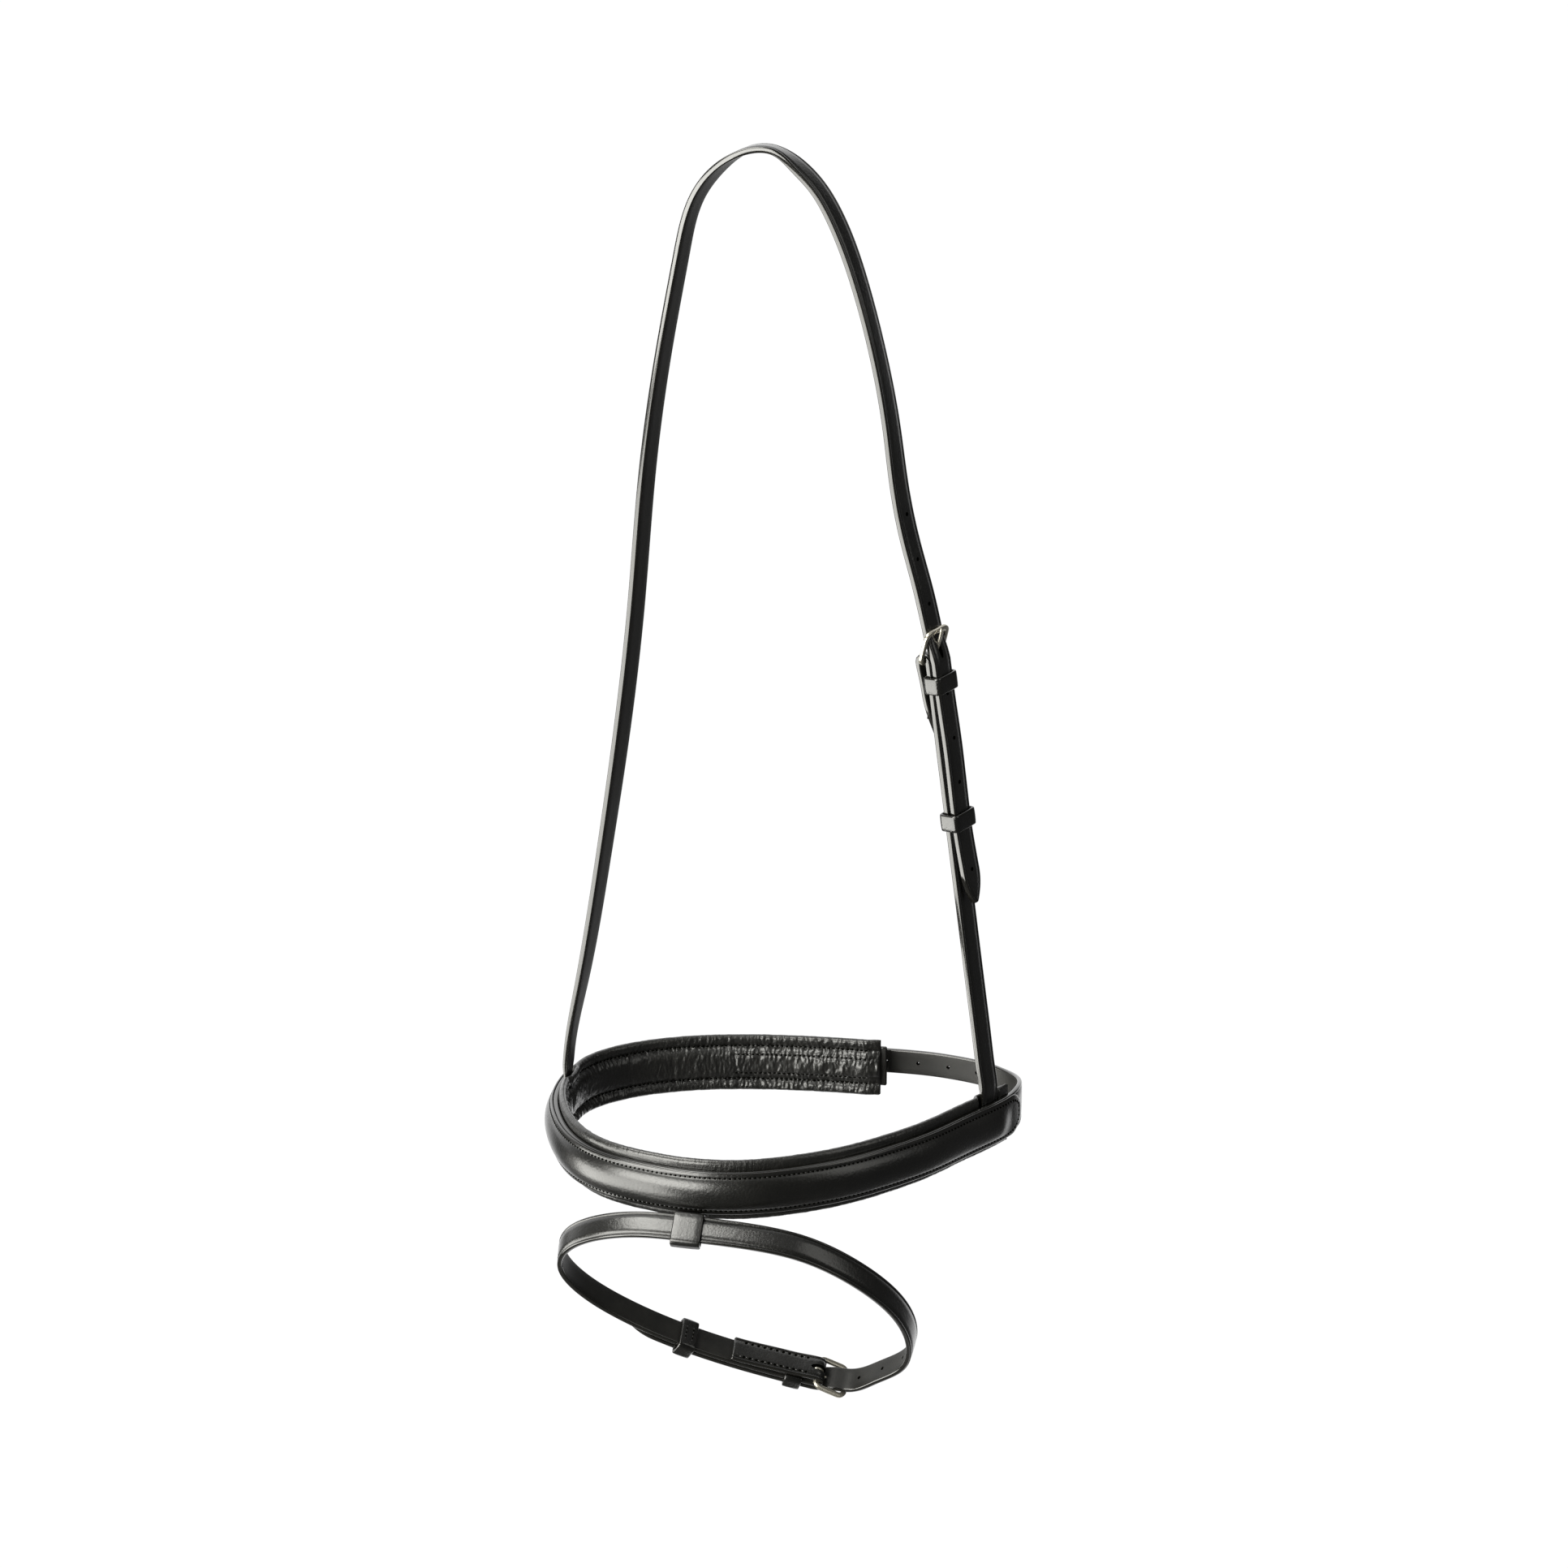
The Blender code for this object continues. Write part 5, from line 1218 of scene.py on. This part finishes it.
def raised_facing(nose, finishes):
    """The raised outer leather, with a rounded edge all round."""
    start, end = FACING_START_AT, FACING_END_AT
    marks = places_along(start, end, FACING_STEP, FACING_EDGE)
    marks += list(np.arange(start + FACING_STEP, start + FACING_FINE, FACING_STEP / 2))
    marks += list(np.arange(end - FACING_FINE, end - FACING_STEP, FACING_STEP / 2))
    marks.sort()
    back = BASE_THICK / 2 + FIT
    rings = []
    for s in marks:
        half = facing_half(s)
        swell = end_swell(s, start, end, FACING_EDGE)
        radius = min(FACING_EDGE, half * 0.5)
        ups = [half - radius * c for c in (0.0, 0.3, 1.0)]
        if half > FACING_TIP:
            ups += list(np.linspace(half - 2 * FACING_EDGE, half - SEAM_IN - SEAM_HALF, 9))
        else:
            ups += list(np.linspace(half - radius * 1.2, half * 0.5, 9))
        ups += list(np.linspace(ups[-1], 0.0, 15))[1:]
        ups = ups + [-up for up in reversed(ups[:-1])]
        ring = []
        for k, up in enumerate(ups):
            near = min(k, len(ups) - 1 - k)
            drop = radius * (1.0, 0.3, 0.0)[near] if near < 3 else 0.0
            ring.append((back + (facing_rise(up, s) - drop - back) * swell, up))
        ring += [(back, up) for up in (FOLD_IN - half, -half * 0.5, half * 0.5, half - FOLD_IN)]
        rings.append(nose.lay(s, ring))
    kinds = [EDGE] * 2 + [GRAIN] * (len(ups) - 5) + [EDGE] * 3 + [FLESH] * 3 + [EDGE]
    return skin("facing", rings, marks, kinds, finishes)


def facing_seam(nose):
    """The line of stitches round the facing, a little inside its edge."""
    start, end = FACING_START_AT + SEAM_IN, FACING_END_AT - SEAM_IN
    low, high = start + FACING_END_ROUND, end - FACING_END_ROUND

    def row(s, side):
        up = side * (FACING_HEIGHT / 2 - SEAM_IN) * end_round(min(s - start, end - s))
        return nose.spot(s, facing_rise(up, s) + THREAD * FACING_THREAD_OUT, up)

    marks = list(np.linspace(start, low, 30)) + list(np.linspace(low, high, 400))[1:]
    marks += list(np.linspace(high, end, 30))[1:]
    top = [row(s, 1) for s in marks]
    return top + [row(s, -1) for s in reversed(marks)] + [top[0]]


def pad_loop():
    """Section of the pad: shares of half its height and of its depth, smoothly round."""
    shares = [(0.30, 0.0), (0.66, 0.0), (0.90, 0.06), (1.0, 0.36), (0.955, 0.66), (0.86, 0.77),
              (0.74, 0.68), (0.655, 0.52), (0.595, 0.47), (0.53, 0.57), (0.44, 0.80), (0.30, 0.95),
              (0.12, 1.0)]
    shares += [(-up, depth) for up, depth in reversed(shares)]
    knots = np.arange(len(shares) + 1, dtype=float)
    values = np.array(shares + shares[:1])
    return spline(knots, values, np.arange(0, len(shares), 1 / 5.0))


def foot_share(s):
    """How near a length is to a strap's foot, from 0 to 1."""
    best = 0.0
    for foot in (LEFT_FOOT_AT, RIGHT_FOOT_AT):
        away = (abs(s - foot) - HEAD_WIDTH / 2 - FIT) / SWELL_FADE
        best = max(best, 1 - ease(away))
    return best


def pad_out(depth, up, s):
    """How far out a point of the pad lies: pinched at both ends, swollen over the feet."""
    flange = -(BASE_THICK / 2 + FIT)
    room = min(s - PAD_MARGIN, PAD_END_AT - s) / PAD_END_PINCH
    deep = (PAD_DEPTH + LINING_THICK) * (PINCHED + (1 - PINCHED) * ease(room))
    foot = foot_share(s) * ease((up + FOOT_LOW) / FOOT_OVER)
    return flange - FOOT_DENT * foot * (1 - depth) - depth * (deep + FOOT_SWELL * foot)


def chance(s, up, along, across, seed, shift=0.0):
    """Uneven height from -1 to 1, with so many lumps a metre along and across the lining."""
    return noise.noise(Vector((s * along, up * across + shift, seed)))


def wrinkle(s, up):
    """Height of the lining's creases: fine ones across it, lumps drawn up between stitches,
    and puckers inside the stitched box."""
    drift = chance(s, up, 160.0, 160.0, 5.0)
    s += 0.0013 * drift
    worn = max(0.1, 0.6 + 1.1 * chance(s, up, 50.0, 70.0, 41.0))
    boxed = ease((BOX_END + 0.003 - s) / 0.005) if abs(up) < PAD_SEAM else 0.0
    lump = abs(math.sin(math.pi * s / PAD_PITCH + 2.5 * drift)) * (0.5 + worn)
    drawn = bell(abs(up) - RIM, RIM_REACH)
    height = 0.00012 * chance(s, up, 210.0, 170.0, 31.0)
    for row, share in ((PAD_SEAM, 1.0), (BOX_SEAM, boxed)) if boxed else ((PAD_SEAM, 1.0),):
        away = abs(up) - row
        near = bell(away, LUMP_REACH)
        drawn = max(drawn, near)
        height += share * (LUMP_RISE * near * lump - ROW_DEPTH * bell(away, ROW_REACH))
    calm = 1 - 0.75 * ease((abs(up) - CALM_FROM) / CALM_OVER)
    quilted = 0.5 if abs(up) < BOX_SEAM else 0.0
    creases = CREASE_RISE * chance(s, up, 430.0, 150.0, 3.0, drift)
    creases += FINE_RISE * chance(s, up, 820.0, 380.0, 9.0)
    height += creases * (1.0 + quilted + worn * drawn) * calm
    if boxed and abs(up) < BOX_SEAM:
        lumps = 0.7 + chance(s, up, 120.0, 150.0, 37.0) + 0.3 * chance(s, up, 420.0, 160.0, 47.0)
        rise = PILLOW_RISE + PILLOW_MORE * ease((0.052 - s) / 0.02)
        height += boxed * rise * lumps * (1 - (up / BOX_SEAM) ** 2)
        for end in (BOX_START, BOX_END):
            height -= BOX_END_SINK * bell(s + 0.002 * drift - end, BOX_END_REACH)
    return height


def soft_pad(nose, finishes):
    """The padded lining, closed behind where it lies on the base strap."""
    loop = pad_loop()
    half = PAD_HEIGHT / 2
    marks = places_along(PAD_MARGIN, PAD_END_AT, PAD_STEP, PAD_EDGE)
    rings = []
    for s in marks:
        swell = end_swell(s, PAD_MARGIN, PAD_END_AT, PAD_EDGE, 0.03)
        flange = pad_out(0.0, 0.0, s)
        ups = loop[:, 0] * (half - PAD_EDGE / 2 * (1 - swell))
        outs = np.array([pad_out(depth, up, s) for up, depth in zip(ups, loop[:, 1])])
        outs = np.where(loop[:, 1] > 0.1, flange + (outs - flange) * swell, outs)
        across = np.roll(ups, -1) - np.roll(ups, 1)
        along = np.roll(outs, -1) - np.roll(outs, 1)
        size = np.hypot(across, along) + 1e-9
        rise = np.array([wrinkle(s, up) for up in ups]) * np.clip(loop[:, 1] * 4, 0, 1) * swell
        ups, outs = ups - rise * along / size, outs + rise * across / size
        rings.append(nose.lay(s, zip(outs, ups)))
    return skin("lining", rings, marks, [0] * len(loop), finishes)


def pad_row(nose, up, start, end):
    """A row of stitches on the pad's inner face."""
    loop = [(share * PAD_HEIGHT / 2, depth) for share, depth in pad_loop() if depth > 0.2]
    loop.sort()
    ups, depths = [point[0] for point in loop], [point[1] for point in loop]
    depth = np.interp(up, ups, depths)
    return [nose.spot(s, pad_out(depth, up, s) - wrinkle(s, up) - THREAD * PAD_THREAD_OUT, up)
            for s in np.arange(start, end, PAD_ROW_STEP)]


def noseband_pieces(nose, jaw, look):
    route = nose_route(nose, jaw)

    def half(s):
        share = ease((s - FACING_END_AT) / NOSE_NARROWING)
        broad = BASE_HEIGHT / 2 + (NOSE_BILLET_WIDTH - BASE_HEIGHT) / 2 * share
        return broad * tip_share(route.length - s)

    base = laid_strap("base_strap", route, half, lambda s: BASE_THICK, look["strap"])
    punched(base, jaw, route, NOSE_HOLE_SPACING, NOSE_HOLES_BEFORE, NOSE_HOLES_AFTER)
    rides(base, "noseband", LEATHER, "nose_strap")

    facing = raised_facing(nose, look["strap"])
    rides(facing, "noseband", LEATHER, "nose_facing", "nose_core")
    sewn("facing_seam", facing_seam(nose), FACING_PITCH, "noseband", look["sewing"], 0.6,
         bold=BOLD_AWL)

    lining = soft_pad(nose, [look["lining"]])
    rides(lining, "noseband", SOFT, "nose_lining", "nose_foam")
    whole, box = (PAD_SEAM_START, PAD_SEAM_END), (BOX_START, BOX_END)
    for number, (up, ends) in enumerate(((PAD_SEAM, whole), (-PAD_SEAM, whole),
                                         (BOX_SEAM, box), (-BOX_SEAM, box))):
        sewn(f"lining_seam_{number}", pad_row(nose, up, *ends), PAD_PITCH, "noseband",
             look["sewing"], 0.3, SOFT)


def jaw_pieces(nose, jaw, look):
    inner, at_keeper, sewn_out = chape_levels(jaw)
    near, far = JAW_BAR_AT + JAW_KEEPER_AT, JAW_BAR_AT + JAW_FAR_KEEPER_AT
    inner_leg = nose.track([(CHAPE_END_AT, inner), (JAW_BAR_AT, inner)])
    outer_leg = nose.track([(JAW_BAR_AT, jaw.bar_out + jaw.wrap_radius),
                            (near - KEEPER_WIDTH / 2, at_keeper),
                            (far + KEEPER_WIDTH / 2, at_keeper), (CHAPE_END_AT, sewn_out)])
    route = joined(inner_leg, jaw.wrap(), outer_leg)
    chape = laid_strap("jaw_chape_leather", route, lambda s: CHAPE_WIDTH / 2,
                       lambda s: CHAPE_THICK, look["strap"])
    rides(punch_out(chape, [slot_bore(jaw)]), "noseband", LEATHER, "jaw_chape")
    two_rows("jaw", route, route.length - JAW_ROWS[0], route.length - JAW_ROWS[1], CHAPE_THICK,
             JAW_ROWS[2], "noseband", look["sewing"])
    low = at_keeper - CHAPE_THICK / 2
    high = at_keeper + CHAPE_THICK / 2 + FIT + FIT / 2 + BASE_THICK
    for name, u in (("jaw_keeper", JAW_KEEPER_AT), ("jaw_far_keeper", JAW_FAR_KEEPER_AT)):
        keeper(name, "noseband", name, jaw, -u, low, high, FIT, KEEPER_INNER_WALL, look["keeper"])
    buckle_pieces("jaw", jaw, look)


def cheek_pieces(cheek, head, look):
    end = cheek.length
    tail = cheek.track([(end - u, out) for u, out in
                        tail_stops(head, HEAD_KEEPER_AT, HEAD_TAIL, HEAD_TAIL_THICK)])
    turn = head.wrap()
    route = joined((cheek.points, cheek.widths), (turn[0][::-1], -turn[1][::-1]), tail)
    tip = route.length

    def thick(s):
        if s < end:
            return skive(s, FOOT_THICK, HEAD_THICK)
        past = ease((s - end - WRAP_LENGTH) / SKIVE_LENGTH)
        return HEAD_THICK + (HEAD_TAIL_THICK - HEAD_THICK) * past

    strap = laid_strap("cheek_leather", route,
                       lambda s: HEAD_WIDTH / 2 * tip_share((tip - s) * TAIL_TIP_SHARE), thick,
                       look["strap"])
    rides(punch_out(strap, [slot_bore(head)]), "noseband", LEATHER, "cheek_strap")
    two_rows("cheek", route, tip - CHEEK_ROWS[0], tip - CHEEK_ROWS[1], HEAD_TAIL_THICK,
             CHEEK_ROWS[2], "noseband", look["sewing"])


def head_pieces(nose, cheek, head, look):
    route = head_route(nose, cheek, head)
    strap = laid_strap("head_leather", route,
                       lambda s: HEAD_WIDTH / 2 * tip_share(route.length - s),
                       lambda s: skive(s, FOOT_THICK, HEAD_THICK), look["strap"])
    punched(strap, head, route, HEAD_HOLE_SPACING, HEAD_HOLES_ABOVE, HEAD_HOLES_BELOW)
    rides(strap, "noseband", LEATHER, "head_strap")
    two_keepers("head", "noseband", head, HEAD_KEEPER_AT, HEAD_RUNNER_AT, HEAD_SPREAD, SLIDE_FIT,
                look["keeper"])
    buckle_pieces("head", head, look)


def flash_pieces(nose, look):
    points, widths = flash_points(nose)
    ring = Route(*smooth(points, widths))
    buckle = turned_back_buckle(ring, 0.0, -1, FLASH_THICK, FLASH_BILLET_DIP, FLASH_WIDTH)
    route = flash_route(points, widths, ring, buckle)

    def thick(s):
        back = ease((FLASH_TAIL - s) / SKIVE_LENGTH)
        return FLASH_THICK + (FLASH_TAIL_THICK - FLASH_THICK) * back

    strap = laid_strap("flash_leather", route,
                       lambda s: FLASH_WIDTH / 2 * tip_share(route.length - s), thick,
                       look["strap"])
    punched(strap, buckle, route, FLASH_HOLE_SPACING, FLASH_HOLES_BEFORE, FLASH_HOLES_AFTER,
            [slot_bore(buckle)])
    rides(strap, "flash", LEATHER, "flash_strap")
    two_rows("flash", route, FLASH_ROWS[0], FLASH_ROWS[1], FLASH_TAIL_THICK, FLASH_ROWS[2],
             "flash", look["sewing"], BOLD_AWL)
    two_keepers("flash", "flash", buckle, FLASH_KEEPER_AT, FLASH_RUNNER_AT, 0.0, CURVED_SLIDE_FIT,
                look["keeper"])
    buckle_pieces("flash", buckle, look)
    wall_out = -FLASH_THICK / 2 - CURVED_SLIDE_FIT - KEEPER_WALL
    for number, side in enumerate((-JOINT_SEAM, JOINT_SEAM)):
        line = cross_line(buckle, side - FLASH_RUNNER_AT, wall_out)
        sewn(f"flash_runner_joint_{number}", line, KEEPER_PITCH, "flash_runner", look["sewing"],
             0.8 if number else -0.8)
    flash_loop_piece(nose, ring, look["strap"])


def flash_loop_piece(nose, ring, straps):
    root, down = loop_root(nose)
    along = ring.axes(ring.nearest(root + down * loop_hang()))[0]
    along -= along.dot(down) * down
    along /= np.linalg.norm(along)
    side = np.cross(along, down)
    half = FLASH_THICK / 2 + LOOP_ROOM
    top = LOOP_ROOT + LOOP_NECK
    bottom = top + LOOP_ROOM + FLASH_WIDTH + LOOP_SLACK
    path = round_path(top, bottom, -half, half, KEEPER_CORNER)

    def wall(way):
        return LOOP_WALL + (top - LOOP_WALL) * max(0.0, -way[0])

    item = band("flash_loop_leather", path, (root, down, side, along), LOOP_WIDTH, wall, straps)
    rides(item, "loop", LEATHER, "flash_loop")


def camera():
    azimuth, pitch = CAMERA_AZIMUTH, CAMERA_PITCH
    right = Vector((math.cos(azimuth), math.sin(azimuth), 0.0))
    ahead = Vector((-math.sin(azimuth) * math.cos(pitch), math.cos(azimuth) * math.cos(pitch),
                    -math.sin(pitch)))
    data = bpy.data.cameras.new("camera")
    data.lens = CAMERA_LENS
    data.sensor_width = 36.0
    item = bpy.data.objects.new("camera", data)
    item.matrix_world = frame_matrix(CAMERA_PLACE, right, right.cross(ahead), -ahead)
    bpy.context.scene.collection.objects.link(item)
    bpy.context.scene.camera = item


def softbox(name, azimuth, elevation, away, span, radiance):
    """A soft light that faces the object. Azimuth is to the right of the camera's side, and
    span is the light's width and height as seen from the object, in degrees."""
    turn, lift = CAMERA_AZIMUTH + math.radians(azimuth), math.radians(elevation)
    way = Vector((math.sin(turn) * math.cos(lift), -math.cos(turn) * math.cos(lift),
                  math.sin(lift)))
    data = bpy.data.lights.new(name, "AREA")
    data.shape = "RECTANGLE"
    data.size, data.size_y = (2 * away * math.tan(math.radians(angle / 2)) for angle in span)
    data.energy = 4 * radiance * data.size * data.size_y
    data.color = WARM_WHITE
    item = bpy.data.objects.new(name, data)
    item.visible_camera = False
    item.rotation_mode = "QUATERNION"
    item.rotation_quaternion = way.to_track_quat("Z", "Y")
    item.location = Vector(LIT_MIDDLE) + way * away
    bpy.context.scene.collection.objects.link(item)


def towards_backdrop(finish, way, turned, start):
    """1 where the white backdrop behind the noseband is mirrored, and 0 elsewhere. Its
    middle is turned so many degrees to the left, and it starts at this cosine."""
    turn = math.radians(turned)
    level = finish.node("ShaderNodeVectorMath", {"operation": "MULTIPLY"}, [way, (1.0, 1.0, 0.0)])
    level = finish.node("ShaderNodeVectorMath", {"operation": "NORMALIZE"}, [level])
    ahead = finish.node("ShaderNodeVectorMath", {"operation": "DOT_PRODUCT"},
                        [level, (-math.sin(turn), math.cos(turn), 0.0)], "Value")
    return ahead.over(start, 0.95)


def studio():
    """A pale floor far under the hanging noseband, a white backdrop and soft lights."""
    bpy.context.scene.view_settings.view_transform = "Standard"
    world = bpy.data.worlds.new("surround")
    bpy.context.scene.world = world
    world.use_nodes = True
    air = Finish.of_tree(world.node_tree)
    way = air.node("ShaderNodeTexCoord", output="Generated")
    above = air.node("ShaderNodeSeparateXYZ", {}, [way], "Z").over(0.55, 0.95)
    backdrop = towards_backdrop(air, way, 24.0, 0.35)
    room = ROOM_LIGHT + above * CEILING_LIGHT + backdrop * BACKDROP_LIGHT
    seen, glossy, through = air.rays()
    plain = (1.0 - seen - glossy - through) * PLAIN_LIGHT
    back = air.tree.nodes["Background"]
    back.inputs["Color"].default_value = (1.0, 1.0, 1.0, 1.0)
    strength = seen + (glossy + through) * room + plain
    air.tree.links.new(strength.socket, back.inputs["Strength"])

    finish = Finish("pale_floor", roughness=0.8, specular=0.1)
    seen, glossy, through = finish.rays()
    glow = finish.node("ShaderNodeEmission", {}, {"Color": (1.0, 1.0, 1.0, 1.0), "Strength": 1.12})
    mirrored = glossy + through
    finish.colour(mirrored, (0.8, 0.8, 0.8), (0.04, 0.04, 0.04))
    lit = towards_backdrop(finish, finish.place(), 8.0, 0.62)
    share = seen * 0.9 + mirrored * (ROOM_LIGHT + lit * 0.85)
    mixed = finish.node("ShaderNodeMixShader", {},
                        [share, Value(finish, finish.shader.outputs[0]), glow])
    output = finish.tree.nodes["Material Output"]
    finish.tree.links.new(mixed.socket, output.inputs["Surface"])
    corners = [(x * FLOOR_REACH, y * FLOOR_REACH, FLOOR_LEVEL)
               for x, y in ((-1, -1), (1, -1), (1, 1), (-1, 1))]
    made("floor", corners, [(0, 1, 2, 3)], [finish.material])

    softbox("left_box", -43.0, 12.0, 1.8, (48.0, 26.0), 7.2)
    softbox("left_low_box", -73.0, -21.0, 1.8, (60.0, 34.0), 4.3)
    softbox("high_box", -62.0, 60.0, 1.8, (38.0, 24.0), 7.0)
    softbox("right_box", 63.0, 30.0, 1.9, (26.0, 40.0), 0.8)


def main():
    points = nose_points()
    nose = Route(*smooth(points, [UP] * len(points)))
    jaw = jaw_buckle(nose)
    cheek = cheek_line(nose)
    head = turned_back_buckle(cheek, cheek.length, 1, HEAD_THICK, HEAD_BILLET_DIP, HEAD_WIDTH)
    # the third finish here is painted shade for stitch holes and punched holes
    edge, flesh, hole = edge_leather(), flesh_leather(), painted_hole_shade_finish()
    look = {"strap": [bridle_leather("bridle_leather", 0.33, 0.24), edge, flesh, hole],
            "keeper": [bridle_leather("keeper_leather", 0.24, 0.12), edge, flesh],
            "lining": lining_leather(), "nickel": nickel_finish(),
            "sewing": (thread_finish(), hole)}
    noseband_pieces(nose, jaw, look)
    jaw_pieces(nose, jaw, look)
    cheek_pieces(cheek, head, look)
    head_pieces(nose, cheek, head, look)
    flash_pieces(nose, look)
    camera()
    studio()


main()
